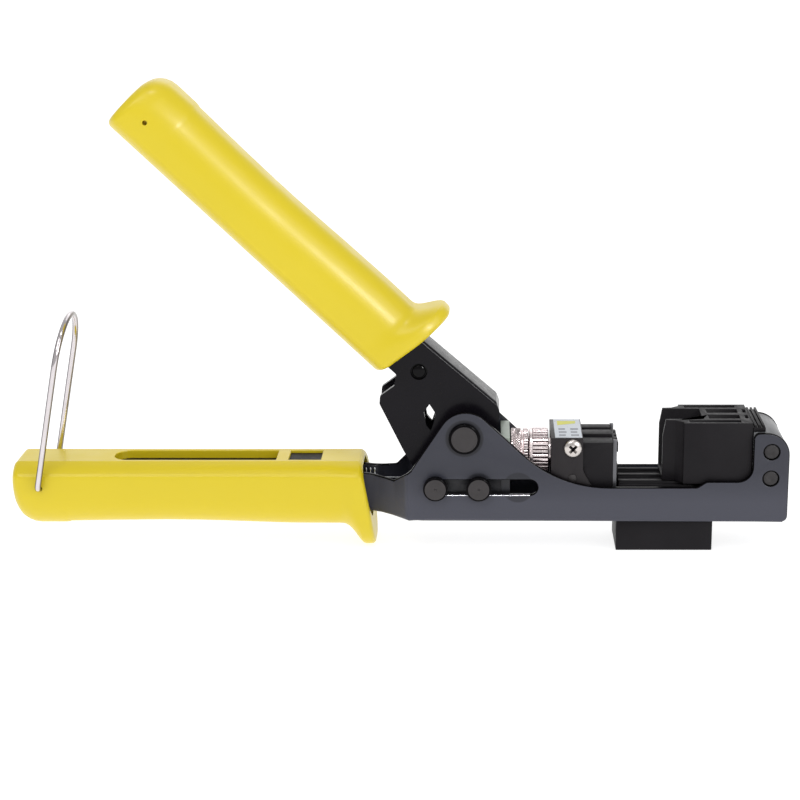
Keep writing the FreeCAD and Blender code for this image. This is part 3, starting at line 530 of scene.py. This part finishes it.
def grip_section(u, length, lip, slots):
    """Points (y, v) round the grip at u, v growing from the inner face to the outer one."""
    into_guard = (u - (length - GUARD_BACK)) / GUARD_LENGTH
    rise = GUARD_RISE * smooth(into_guard) ** 2
    waist = WAIST_DEPTH * math.sin(math.pi * min(max((u - WAIST_START) / WAIST_LENGTH, 0.0), 1.0))
    swell = SWELL_RISE * smooth((u - SWELL_START) / SWELL_LENGTH)
    heel = HEEL_RISE * (1 - smooth((u - HEEL_END) / HEEL_FADE))
    high = GRIP_THICK + rise + swell - waist + heel - rear_inset(u, REAR_OUTER) - lip
    low = rear_inset(u, REAR_INNER) + lip
    half = GRIP_HALF - SIDE_WAIST * math.sin(math.pi * u / length) + GUARD_FLARE * smooth(into_guard)
    half -= rear_inset(u, REAR_PLAN) + lip
    slot = slot_half(u, slots)
    shoulder = []
    for step in range(SECTION_STEPS + 1):
        angle = SHOULDER_START + (math.pi / 2 - SHOULDER_START) * step / SECTION_STEPS
        across = (math.sin(angle) - math.sin(SHOULDER_START)) / (1 - math.sin(SHOULDER_START))
        down = 1 - math.cos(angle) / math.cos(SHOULDER_START)
        shoulder.append((FLAT_HALF + (half - FLAT_HALF) * across, low + SHOULDER_DEPTH * down))
    # the rounded back gets deeper in the guard, and always leaves a little straight side
    back = min(BACK_DEPTH + 0.3 * rise, high - low - SHOULDER_DEPTH - 0.5)
    rounded = []
    for step in range(DOME_STEPS + 1):
        angle = math.pi / 2 * step / DOME_STEPS
        across = BACK_FLAT + (half - BACK_FLAT) * math.cos(angle)
        rounded.append((across, high - back * (1 - math.sin(angle))))
    right = shoulder + rounded
    left = [(-y, v) for y, v in reversed(right)]
    return [(-slot, low), (slot, low)] + right + [(0.0, high)] + left


def lean(v):
    """How far the slanted front runs forward at v."""
    return FRONT_SLANT * (min(v, SLANT_BREAK) + SLANT_EASE * max(v - SLANT_BREAK, 0.0))


def grip_stations(length, slots):
    """Places along the grip for its sections, each with the inset of the rounded lip."""
    places = {0.0}
    for radius in (REAR_PLAN, REAR_OUTER):
        places |= {round(radius * (1 - math.cos(math.radians(15 * k))), 3) for k in range(1, 7)}
    places |= {HEEL_END + HEEL_FADE * k / 3 for k in range(4)}
    places |= {12, 24, 30, 40, 50, 60, 70, 80, length - 20, length - 16, length - 13}
    places |= {length - GUARD_BACK + k * GUARD_LENGTH / 10 for k in range(11)}
    places |= {length - LIP_ROUND - 0.8}
    for slot in slots:
        places |= {slot.start, slot.finish}
        places |= {slot.start + slot.taper * k for k in (0.04, 0.15, 0.35, 0.65, 1.0)}
    stations = [(u, 0.0) for u in sorted(places)]
    for step in range(6):
        angle = math.radians(18 * step)
        stations.append((length - LIP_ROUND * (1 - math.sin(angle)), LIP_ROUND * (1 - math.cos(angle))))
    return stations


def grip_mesh(length, slots):
    """The moulding in its own axes: x along it from the rear, y across, z from inner to outer face."""
    bm = bmesh.new()
    rings = []
    for u, lip in grip_stations(length, slots):
        slant = smooth((u - SLANT_START) / SLANT_LENGTH)
        section = grip_section(u, length, lip, slots)
        rings.append((u, [bm.verts.new((u + slant * lean(v), y, v)) for y, v in section]))
    recess = []
    for (u0, before), (u1, after) in zip(rings, rings[1:]):
        faces = bridge(bm, before, after)
        if any(slot.start < (u0 + u1) / 2 < slot.finish for slot in slots):
            recess.append(faces[0])
    bm.faces.new(rings[0][1])
    # the front is an open mouth: a rim, then walls that run back to a floor
    last = rings[-1][1]
    hollow = grip_section(length - MOUTH_DEPTH, length, MOUTH_WALL, [])
    rim, deep = ([bm.verts.new((length - back + lean(v), y, v)) for y, v in hollow]
                 for back in (MOUTH_RIM, MOUTH_DEPTH))
    bridge(bm, last, rim)
    bridge(bm, rim, deep)
    bm.faces.new(deep)
    if recess:
        # The recess walls and floor take the second material, the near-black painted shade.
        made = bmesh.ops.extrude_face_region(bm, geom=recess)
        for item in made["geom"]:
            if isinstance(item, bmesh.types.BMFace):
                item.material_index = 1
            elif isinstance(item, bmesh.types.BMVert):
                item.co.z += LONG_SLOT.depth if item.co.x < WINDOW.start - 1 else WINDOW.depth
        bmesh.ops.delete(bm, geom=recess, context="FACES")
    return bm


def slot_rim(edge):
    """The upper edges of the recesses in a grip's inner face."""
    across = LONG_SLOT.half + 0.3
    return all(v.co.z < 0.01 and abs(v.co.y) < across and v.co.x > 20 for v in edge.verts)


LOWER_LENGTH = 116.6
LOWER_REAR = -129.9
LOWER_TOP = 30.6
EYE_RADIUS = 1.1
EYE_REACH = 20
UPPER_LENGTH = 118.3
UPPER_REAR = -153.6
UPPER_INNER = -4.5
UPPER_THICKER = 1.015
VENT_PLACE = (9.1, 0, 9.5)
VENT_RADIUS = 0.8


def lower_grip():
    """The moulding over the tang, inner face up, with eyes for the bail through its rear end."""
    bm = grip_mesh(LOWER_LENGTH, [LONG_SLOT, WINDOW])
    soften(bm, 0.3, 2, 40, slot_rim)
    place = Matrix.Translation((LOWER_REAR, 0, LOWER_TOP)) @ Matrix.Diagonal((1, 1, -1, 1))
    bmesh.ops.transform(bm, matrix=place, verts=bm.verts)
    eye = turned([(-EYE_REACH, EYE_RADIUS), (EYE_REACH, EYE_RADIUS)], joint_place("bail_swing"), "y", 24)
    piece("lower_grip_moulding", carve(bm, eye), "frame", YELLOW, ["lower_grip"], 14, [RECESS_SHADE])


def upper_grip():
    """The moulding on the lever, turned about the pivot, with a vent in its near side."""
    bm = grip_mesh(UPPER_LENGTH, [])
    vent = turned([(-14, VENT_RADIUS), (-10, VENT_RADIUS)], VENT_PLACE, "y", 16)
    bm = carve(bm, vent)
    place = (Matrix.Translation(PIVOT) @ Matrix.Rotation(HANDLE_TURN, 4, "Y")
             @ Matrix.Translation((UPPER_REAR, 0, UPPER_INNER)) @ Matrix.Scale(UPPER_THICKER, 4, (0, 0, 1)))
    bmesh.ops.transform(bm, matrix=place, verts=bm.verts)
    piece("upper_grip_moulding", bm, "lever", YELLOW, ["upper_grip"], 14)


# ---------------------------------------------------------------- folded sheet parts

UNDER_HEIGHT = 13.5
UNDER_FRONT = 127.0
UNDER_ACROSS = 6.0


def lies_under(edge):
    """The channel's two long lower bends."""
    behind_nose = all(v.co.z < UNDER_HEIGHT and v.co.x < UNDER_FRONT for v in edge.verts)
    outside = all(abs(v.co.y) > UNDER_ACROSS for v in edge.verts)
    under = any(face.normal.z < -0.7 for face in edge.link_faces)
    side = any(abs(face.normal.y) > 0.4 for face in edge.link_faces)
    return behind_nose and outside and under and side


# Each straight bend of the neck: where it starts and ends along the tool, and the levels that it joins.
Bend = namedtuple("Bend", "start finish low high")
NECK_WALL = Bend(-7.8, 2.2, 6.3, 13.5)
NECK_FLOOR = Bend(-13.5, 5.0, 13.4, 11.3)
# Where the smooth step that replaces it starts and ends.
NECK_WALL_EASE = (-11.3, 5.7)
NECK_FLOOR_EASE = (-26.0, 9.0)
NECK_CUTS = 24


def eased(along, bend, ease):
    """How far a smooth step between two levels lies beside a straight ramp between them."""
    ramp = min(max((along - bend.start) / (bend.finish - bend.start), 0.0), 1.0)
    return (bend.high - bend.low) * (smooth((along - ease[0]) / (ease[1] - ease[0])) - ramp)


def ease_neck(bm):
    """Turns the folded bends behind the lug into smooth drawn ones."""
    start, finish = NECK_FLOOR_EASE
    for step in range(NECK_CUTS):
        cut = start + (finish - start) * (step + 0.5) / NECK_CUTS
        bmesh.ops.bisect_plane(bm, geom=bm.verts[:] + bm.edges[:] + bm.faces[:], dist=0.0001,
                               plane_co=(cut, 0, 0), plane_no=(1, 0, 0))
    for vert in bm.verts:
        along, across, up = vert.co
        if abs(across) > 4.0:
            vert.co.y += math.copysign(eased(along, NECK_WALL, NECK_WALL_EASE), across)
        if up < 16.0:
            vert.co.z += eased(along, NECK_FLOOR, NECK_FLOOR_EASE)


SLOT_REACH = (10.9, 42.8)
SLOT_HALF = 2.65
NECK_FRONT = 6.0
NECK_TOP = 28.0
EDGES_FROM = 15.5
SHEET_BEND = 1.7
SHEET_EDGE = 0.45


def frame_channel():
    """The folded frame: rounded folds, cut edges in a near-black painted shade, and a near-white metal strip
    along the slot's lower edge as a painted highlight where the pins run.
    """
    bm = from_cad("frame_channel")
    soften(bm, SHEET_BEND, 5, 40, lies_under, clamp=False)
    soften(bm, SHEET_EDGE, 4, 40, clamp=False)
    ease_neck(bm)
    bm.normal_update()
    for face in bm.faces:
        spot = face.calc_center_median()
        in_slot = SLOT_REACH[0] < spot.x < SLOT_REACH[1] and abs(spot.z - GUIDE.z) < SLOT_HALF + 0.6
        in_neck = spot.x < NECK_FRONT and spot.z < NECK_TOP
        cut_edge = face.normal.z > 0.2 if in_neck else abs(face.normal.y) < 0.97
        # The slot's lower edge takes the painted highlight; the cut edges higher up take the near-black
        # painted shade.
        if in_slot and face.normal.z > 0.3:
            face.material_index = 2
        elif cut_edge and spot.z > EDGES_FROM and abs(spot.y) > 4.0:
            face.material_index = 1
    piece("frame_channel_sheet", bm, "frame", FRAME_COAT, ["frame_channel"], 32,
          [EDGE_SHADE, SLOT_HIGHLIGHT])


WEB_LEVEL = 13.0
WEB_END = 0.6
WEB_BEND = 2.2
LEVER_EDGE = 0.3


def lever_channel():
    """The lever's folded channel, its long bends rounder than its cut edges."""
    bm = from_cad("lever_channel")
    turn = Matrix.Rotation(HANDLE_TURN, 3, "Y")
    along, across = turn @ Vector((1, 0, 0)), turn @ Vector((0, 0, 1))
    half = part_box("lever_channel")[1].y / MM

    def outer_bend(edge):
        """The long bends between the web and the plates."""
        heights = [across.dot(v.co - PIVOT) for v in edge.verts]
        reach = max(along.dot(v.co - PIVOT) for v in edge.verts)
        outside = all(abs(v.co.y) > half - 0.1 for v in edge.verts)
        return min(heights) > WEB_LEVEL and reach < WEB_END and outside

    soften(bm, WEB_BEND, 6, 40, outer_bend)
    soften(bm, LEVER_EDGE, 3, 35)
    piece("lever_channel_sheet", bm, "lever", LEVER_COAT, ["lever_channel"])


CUT_PARTS = [
    ("end_block", "frame", "grey_block", GREY_BLOCK, 0.35),
    ("base_block", "frame", "black_plastic", BLACK, 0.45),
    ("jack_holder", "frame", "black_plastic", BLACK, 0.28),
    ("holder_retainer", "frame", "black_plastic", BLACK, 0.15),
    ("ram_yoke", "ram", "yoke_zinc", YOKE, 0.25),
    ("die_bracket", "die_carrier", "bracket_steel", BRACKET, 0.25),
    ("punch_die", "die_carrier", "black_plastic", BLACK, 0.3),
    ("punch_comb", "die_carrier", "black_plastic", BLACK, 0.15),
    ("trim_blades", "die_carrier", "blade_steel", BLADE, 0.12),
    ("pivot_spacers", "frame", "plain_steel", STEEL, 0.2),
    ("pivot_bush", "lever", "plain_steel", STEEL, 0.3),
    ("spring_anchor", "frame", "plain_steel", STEEL, 0.2),
    ("bracket_pin", "die_carrier", "plain_steel", DARK_PIN, 0.2),
    ("barrel_clip", "adjuster", "plain_steel", STEEL, 0.12),
]


def cut_parts():
    """Parts whose CAD shape is right and only need their edges broken."""
    for node, body, slot, material, width in CUT_PARTS:
        piece(f"{node}_part", soften(from_cad(node), width), body, material, [node])


# ---------------------------------------------------------------- pins, rivets and screws

def headed_pin(name, centre, shaft, head, start, thick, body, material, dimple, rim):
    """A pin with a round-edged head each side, its flat end with a turning dimple or a shallow recess."""
    parts = [turned([(-start, shaft), (start, shaft)], centre)]
    for hand in (-1, 1):
        outer = start + thick
        profile = [(start, shaft), (start, head - 0.15), (start + 0.15, head), (outer - 0.8, head)]
        for step in range(1, 7):
            angle = math.radians(15 * step)
            profile.append((outer - rim * (1 - math.sin(angle)) * 0.6, head - rim * (1 - math.cos(angle))))
        if dimple:
            profile += [(outer, 0.5), (outer - 0.25, 0.25), (outer - 0.3, 0)]
        else:
            profile += [(outer, head - rim - 0.3), (outer - 0.1, head - rim - 0.4), (outer - 0.1, 0)]
        parts.append(turned([(hand * along, radius) for along, radius in profile], centre))
    whole = merge(*parts)
    whole.normal_update()
    # The heads' rounded rims take the near-black painted shade.
    for face in whole.faces:
        spot = face.calc_center_median() - Vector(centre)
        if math.hypot(spot.x, spot.z) > head - rim - 0.02:
            face.material_index = 1
    piece(f"{name}_turned", whole, body, material, [name], 30, [EDGE_SHADE])


def pins():
    """The two pins that run in the long slots, and the main pivot."""
    head_start = FRAME_HALF + 0.3
    head_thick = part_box("drive_pin")[1].y / MM - head_start
    for name, centre in (("drive_pin", DRIVE), ("guide_pin", GUIDE)):
        headed_pin(name, centre, shaft=2.35, head=4.05, start=head_start, thick=head_thick, body="ram",
                   material=DARK_PIN, dimple=True, rim=0.55)
    headed_pin("pivot_pin", PIVOT, shaft=3.5, head=5.2, start=FRAME_HALF + 0.02, thick=1.38, body="frame",
               material=DARK_PIN, dimple=False, rim=0.9)


def dome(radius, face, inner):
    """A rivet's end seen from outside: flat middle, rolled edge."""
    return [(inner, radius), (face - 0.4, radius), (face - 0.12, radius - 0.18), (face, radius - 0.6),
            (face, radius * 0.35), (face - 0.1, radius * 0.25), (face - 0.1, 0)]


END_RIVET_RADIUS = 2.5
LEVER_RIVET_RADIUS = 2.7
BUTTON_RADIUS = 2.3


def rivets():
    """The two rivets through the frame's ears, and the lever's domed cross rivet."""
    low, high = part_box("end_rivets")
    along = centre_of("end_rivets").x
    radius = END_RIVET_RADIUS
    face = high.y / MM
    parts = []
    for level in (low.z / MM + radius, high.z / MM - radius):
        for hand in (-1, 1):
            ends = [(hand * a, r) for a, r in [(0, 0), (0, radius)] + dome(radius, face, 1.0)]
            parts.append(turned(ends, (along, 0, level), "y", 48))
    piece("end_rivet_pair", merge(*parts), "frame", RIVET, ["end_rivets"], 30)
    centre = centre_of("lever_rivet")
    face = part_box("lever_rivet")[1].y / MM
    seat, rise = face - 0.45, 0.7
    button = [(0, 0), (0, LEVER_RIVET_RADIUS), (face - 0.5, LEVER_RIVET_RADIUS), (seat, BUTTON_RADIUS)]
    for step in range(1, 6):
        angle = math.radians(15 * step)
        button.append((seat + rise * math.sin(angle), BUTTON_RADIUS * math.cos(angle)))
    button.append((seat + rise, 0))
    ends = [turned([(hand * reach, radius) for reach, radius in button], centre) for hand in (-1, 1)]
    piece("lever_rivet_turned", merge(*ends), "lever", BUTTON, ["lever_rivet"], 40)


SCREW_BRIM = 0.25


def cross_screw(centre, hand, radius, rise):
    """A pan head with a cross recess, on an axis along Y."""
    profile = [(0, 0), (0, radius - 0.1), (SCREW_BRIM, radius)]
    for degrees in range(10, 91, 10):
        angle = math.radians(degrees)
        profile.append((SCREW_BRIM + rise * math.sin(angle), radius * (0.25 + 0.75 * math.cos(angle))))
    profile.append((SCREW_BRIM + rise, 0))
    head = turned([(hand * along, reach) for along, reach in profile], centre, "y", 48)
    cutters = []
    for turn in (45, 135):
        arm = block((-radius * 0.72, -1.1, -radius * 0.15), (radius * 0.72, 0.6, radius * 0.15))
        for vert in arm.verts:
            if vert.co.y < 0:
                vert.co.x *= 0.35
        place = Matrix.Translation(Vector(centre) + Vector((0, hand * (SCREW_BRIM + rise), 0)))
        flip = Matrix.Diagonal((1, hand, 1, 1))
        spin = Matrix.Rotation(math.radians(turn), 4, "Y")
        bmesh.ops.transform(arm, matrix=place @ flip @ spin, verts=arm.verts)
        cutters.append(arm)
    screw = carve(head, *cutters)
    screw.normal_update()
    # The walls and floor of the cross recess take the near-black painted shade.
    for face in screw.faces:
        spot = face.calc_center_median() - Vector(centre)
        off_axis = math.hypot(spot.x, spot.z)
        wall = abs(face.normal.y) < 0.5
        deep = hand * spot.y < rise - 0.2 and off_axis < radius * 0.6
        if off_axis < radius * 0.78 and (wall or deep):
            face.material_index = 1
    return screw


DIE_SCREW_RADIUS = 3.1
DIE_SHANK_RADIUS = 1.25
DIE_SHANK_START = 6.5


def die_screws():
    """The screw in each side of the die's bracket."""
    centre = centre_of("die_screws")
    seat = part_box("die_bracket")[1].y / MM + 0.02
    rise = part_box("die_screws")[1].y / MM - seat - SCREW_BRIM
    heads = []
    shanks = []
    for hand in (-1, 1):
        heads.append(cross_screw((centre.x, hand * seat, centre.z), hand, DIE_SCREW_RADIUS, rise))
        ends = [(hand * along, DIE_SHANK_RADIUS) for along in (DIE_SHANK_START, seat + 0.3)]
        shanks.append(turned(ends, (centre.x, 0, centre.z)))
    piece("die_screw_pair", merge(*heads, *shanks), "die_carrier", SCREW, ["die_screws"], 30,
          [EDGE_SHADE])


HOLDER_SCREW_ALONG = 110.6
HOLDER_SCREW_HEAD = 2.8
HOLDER_SCREW_SHANK = 1.5


def holder_screws():
    """The two screws that come up from below, with a ring turned in each head."""
    low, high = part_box("holder_screws")
    head, shank = HOLDER_SCREW_HEAD, HOLDER_SCREW_SHANK
    profile = [(0, 0), (0, 0.9), (0.5, 0.9), (0.5, 1.3), (0, 1.3)]
    profile += [(0, head - 0.3), (0.3, head), (1.2, head), (1.25, shank), (9, shank)]
    parts = []
    for across in (low.y / MM + head, high.y / MM - head):
        parts.append(turned(profile, (HOLDER_SCREW_ALONG, across, low.z / MM), "z", 40))
    piece("holder_screw_pair", merge(*parts), "frame", RIVET, ["holder_screws"], 30)


# ---------------------------------------------------------------- adjuster

BORE = 3.95
NUT_TEETH = 54
NUT_DEPTH = 0.3
NUT_CROSSING = 0.12
DRUM_TEETH = 38
DRUM_DEPTH = 0.55
NECK_RADIUS = 5.0
THREAD_CREST = 3.85
THREAD_ROOT = 3.35
PITCH = 1.0


def groove(angle, teeth):
    """0 on a tooth's broad crest, rising to 1 in the narrow groove beside it."""
    phase = (angle * teeth / (2 * math.pi)) % 1.0
    return max(1 - 2.2 * abs(2 * phase - 1), 0.0)


def knurled(profile, teeth, depth, centre, cross=0.0):
    """A turned part whose outer rim is knurled, straight or crossed, with painted shade in the roots."""
    rim = max(radius for along, radius in profile)
    rim_stations = {along for along, radius in profile if radius > rim - 0.3}

    def cut(along, angle):
        """How deep the knurl is at an angle, on the stations that make up the rim."""
        if along not in rim_stations:
            return 0.0
        skew = along * cross
        return depth * max(groove(angle + skew, teeth), groove(angle - skew, teeth))

    bm = turned(profile, centre, "x", teeth * 6, cut)
    bm.normal_update()
    # Faces down in the knurl's grooves take the second material, a darker painted shade.
    for face in bm.faces:
        spot = face.calc_center_median() - Vector(centre)
        below = rim - math.hypot(spot.y, spot.z)
        if 0.45 * depth < below < 1.1 * depth and abs(face.normal.x) < 0.8:
            face.material_index = 1
    return bm


def ring_profile(start, finish, outer, steps):
    """A bored ring with chamfered shoulders; the steps along its rim let a crossed knurl turn."""
    edge = 0.3
    shoulder = outer - 0.7
    rim = [(start + edge + (finish - start - 2 * edge) * k / steps, outer) for k in range(steps + 1)]
    return [(start, BORE), (start, shoulder)] + rim + [(finish, shoulder), (finish, BORE), (start, BORE)]


def lathe_axis():
    """A point on the axis that the stud, the nut and the barrel share, which runs along X."""
    low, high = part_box("lock_nut")
    return Vector((0, 0, (low.z + high.z) / 2 / MM))


def lengthwise(node):
    """Where a turned node starts and ends along X, and its outer radius."""
    low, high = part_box(node)
    return low.x / MM, high.x / MM, (high.z - low.z) / 2 / MM


def lock_nut():
    """A crossed knurl, a turned neck and a narrow straight knurl."""
    centre = lathe_axis()
    start, finish, outer = lengthwise("lock_nut")
    wide = knurled(ring_profile(start, start + 3.7, outer, 14), NUT_TEETH, NUT_DEPTH, centre, NUT_CROSSING)
    waist = outer - 0.85
    neck = turned([(start + 3.4, BORE), (start + 3.4, waist), (start + 4.4, waist), (start + 4.4, BORE)],
                  centre, "x", 96)
    narrow = knurled(ring_profile(start + 4.1, finish, outer, 3), NUT_TEETH, NUT_DEPTH, centre)
    piece("lock_nut_knurled", merge(wide, neck, narrow), "lock_nut", NICKEL, ["lock_nut"], 25,
          [KNURL_ROOT_SHADE])


def adjusting_barrel():
    """A plain collar, a coarse knurled drum, and a neck that turns in the die's bracket."""
    centre = lathe_axis()
    start, finish, outer = lengthwise("adjusting_barrel")
    collar_end, drum_end = start + 1.0, start + 6.2
    brim = outer - 0.15
    collar = turned([(start, BORE), (start, brim - 0.25), (start + 0.25, brim), (collar_end, brim),
                     (collar_end, BORE), (start, BORE)], centre, "x", 96)
    drum = knurled(ring_profile(collar_end - 0.1, drum_end + 0.2, outer, 5), DRUM_TEETH, DRUM_DEPTH, centre)
    neck = turned([(drum_end, BORE), (drum_end, NECK_RADIUS), (finish - 0.2, NECK_RADIUS),
                   (finish, NECK_RADIUS - 0.2), (finish, BORE), (drum_end, BORE)], centre, "x", 64)
    piece("adjusting_barrel_knurled", merge(collar, drum, neck), "adjuster", NICKEL,
          ["adjusting_barrel"], 25, [KNURL_ROOT_SHADE])


def adjusting_stud():
    """A headed stud with a turned ring in its head and a thread along its front."""
    centre = lathe_axis()
    start, finish, head = lengthwise("adjusting_stud")
    profile = [(start, 0), (start, 2.4), (start + 0.5, 2.4), (start + 0.5, 3.0), (start, 3.0)]
    profile += [(start, head - 0.5), (start + 0.5, head), (start + 2.2, head), (start + 2.4, head - 0.2)]
    profile += [(start + 2.4, THREAD_CREST)]
    along = start + 5.6
    while along < finish - PITCH:
        profile += [(along, THREAD_CREST), (along + PITCH / 2, THREAD_ROOT)]
        along += PITCH
    profile += [(finish - 0.4, 3.7), (finish, 3.2), (finish, 0)]
    piece("adjusting_stud_threaded", turned(profile, centre, "x", 64), "ram", STEEL,
          ["adjusting_stud"], 25)


# ---------------------------------------------------------------- label, spring and bail

INK_DEPTH = 0.02
INK_RISE = 0.03
STRIPE_ACROSS = (3.6, 8.6)
BAR_COLUMN = 4.0
BAR_ROW = 3.6
BAR_WIDE = 1.9


def spec_label():
    """A pale film over the bracket, with a yellow stripe and plain bars where it would be printed."""
    low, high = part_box("spec_label")
    low, high = low / MM, high / MM
    piece("spec_label_film", block(low, high, 0.05, 2), "die_carrier", LABEL, ["spec_label"])
    top = high.z
    wide = high.x - low.x
    near, far = STRIPE_ACROSS
    stripe = block((low.x + 1.2, near, top - INK_DEPTH), (high.x - 1.6, far, top + INK_RISE), 0.01, 1)
    for vert in stripe.verts:
        if vert.co.x > low.x + wide * 0.6 and vert.co.y < 6:
            vert.co.y += 2.2
    piece("label_stripe", stripe, "die_carrier", LABEL_YELLOW)
    bars = []
    for column in range(2):
        for row in range(3):
            left = low.x + 1.4 + BAR_COLUMN * column
            right = left + 2.2 + 0.4 * ((row + column) % 2)
            near = -9.2 + BAR_ROW * row
            far = near + BAR_WIDE
            bars.append(block((left, near, top - INK_DEPTH), (right, far, top + INK_RISE), 0.01, 1))
    piece("label_bars", merge(*bars), "die_carrier", LABEL_GREY)


def return_spring():
    """A tension spring from the anchor pin in the tang to the drive pin, with a hook at each end."""
    anchor = centre_of("spring_anchor")
    wire, coil, pitch = 0.32, 2.35, 1.45
    rear_hook, front_hook = 1.9, 2.75
    rear, front = anchor.x + 5.0, -8.6
    per_turn = 20
    steps = int((front - rear) / pitch * per_turn)
    path = [(along, 0.0, up) for along, up in arc((anchor.x, anchor.z), rear_hook, 80, 350, 14)]
    for step in range(steps + 1):
        angle = 2 * math.pi * step / per_turn
        along = rear + (front - rear) * step / steps
        path.append((along, coil * math.sin(angle), anchor.z - coil * math.cos(angle)))
    path += [(along, 0.0, up) for along, up in arc((DRIVE.x, DRIVE.z), front_hook, 200, 460, 16)]
    spring = piece("return_spring_coils", tube(path, wire, 8), None, STEEL, ["return_spring"],
                   60)
    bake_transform(spring)


def bail():
    """A wire loop with rounded shoulders whose ends turn in through the grip's eyes."""
    pivot = joint_place("bail_swing")
    half, leg, wire = 15.2, 42.3, 1.0
    turn_in, end = 2.2, 10.95
    side = [(-end, 0.0)]
    side += arc((-half + turn_in, turn_in), turn_in, 270, 180, 8)
    side += [(-half, 20.0)]
    over = arc((0, leg), half, 180, 0, 40)
    flat = side + over + [(-y, z) for y, z in reversed(side)]
    rotate = Matrix.Rotation(BAIL_LEAN, 3, "Y")
    path = [pivot + rotate @ Vector((0, y, z)) for y, z in flat]
    piece("bail_wire", tube(path, wire, 16), "bail", CHROME, ["bail"], 60)


# ---------------------------------------------------------------- studio

def studio():
    """A pale floor and soft lamps; the sheen lamp only shows in glossy surfaces."""
    bpy.ops.mesh.primitive_plane_add(size=14.0, location=(0, 3.0, 0))
    floor = bpy.context.object
    floor.name = "studio_floor"
    ground = Surface("studio_floor", (0.45, 0.45, 0.45, 1.0), 0.8, tone=0.006, patch=3, relief=0.0, grain=40,
                     specular=0.1)
    ground.shader.inputs["Emission Color"].default_value = (1.0, 1.0, 1.0, 1.0)
    ground.shader.inputs["Emission Strength"].default_value = 0.82
    floor.data.materials.append(ground.material)
    world = bpy.data.worlds.new("studio")
    world.use_nodes = True
    nodes, links = world.node_tree.nodes, world.node_tree.links
    place = nodes.new("ShaderNodeTexCoord")
    split = nodes.new("ShaderNodeSeparateXYZ")
    links.new(place.outputs["Generated"], split.inputs["Vector"])
    behind = nodes.new("ShaderNodeMapRange")
    behind.interpolation_type = "SMOOTHSTEP"
    for key, number in (("From Min", 0.6), ("From Max", 0.95), ("To Min", 0.55), ("To Max", 1.2)):
        behind.inputs[key].default_value = number
    links.new(split.outputs["Y"], behind.inputs["Value"])
    nodes["Background"].inputs["Color"].default_value = (1.0, 1.0, 1.0, 1.0)
    links.new(behind.outputs["Result"], nodes["Background"].inputs["Strength"])
    bpy.context.scene.world = world
    lamps = [
        ("key", (-0.35, -0.75, 0.95), 0.55, 2.8),
        ("fill", (0.75, -0.55, 0.55), 0.5, 1.6),
        ("spark", (0.03, -0.26, 0.97), 0.10, 0.9),
        ("sheen", (0.56, -0.85, 0.46), 0.22, 5.0),
        ("rim", (0.1, 0.8, 0.9), 0.7, 1.2),
    ]
    for name, place, width, power in lamps:
        light = bpy.data.lights.new(name, "AREA")
        light.size = width
        light.energy = power
        lamp = bpy.data.objects.new(name, light)
        lamp.location = place
        lamp.rotation_euler = (Vector((0, 0, 0.05)) - Vector(place)).to_track_quat("-Z", "Y").to_euler()
        lamp.visible_diffuse = name != "sheen"
        bpy.context.scene.collection.objects.link(lamp)
    bpy.context.scene.view_settings.view_transform = "Standard"


CAMERA_LENS = 83.7
CAMERA_SHIFT = -0.11
CAMERA_DOWN = 15.6
CAMERA_PLACE = (28.9, -601.7, 217.9)


def camera():
    """From the tool's front side, looking down a little, with a long lens."""
    data = bpy.data.cameras.new("camera")
    data.sensor_width = 36.0
    data.lens = CAMERA_LENS
    data.shift_x = CAMERA_SHIFT
    data.clip_end = 60.0
    eye = bpy.data.objects.new("camera", data)
    eye.location = [value * MM for value in CAMERA_PLACE]
    eye.rotation_euler = (math.radians(90 - CAMERA_DOWN), 0, 0)
    bpy.context.scene.collection.objects.link(eye)
    bpy.context.scene.camera = eye


lower_grip()
upper_grip()
frame_channel()
lever_channel()
cut_parts()
pins()
rivets()
die_screws()
holder_screws()
lock_nut()
adjusting_barrel()
adjusting_stud()
spec_label()
return_spring()
bail()
studio()
camera()
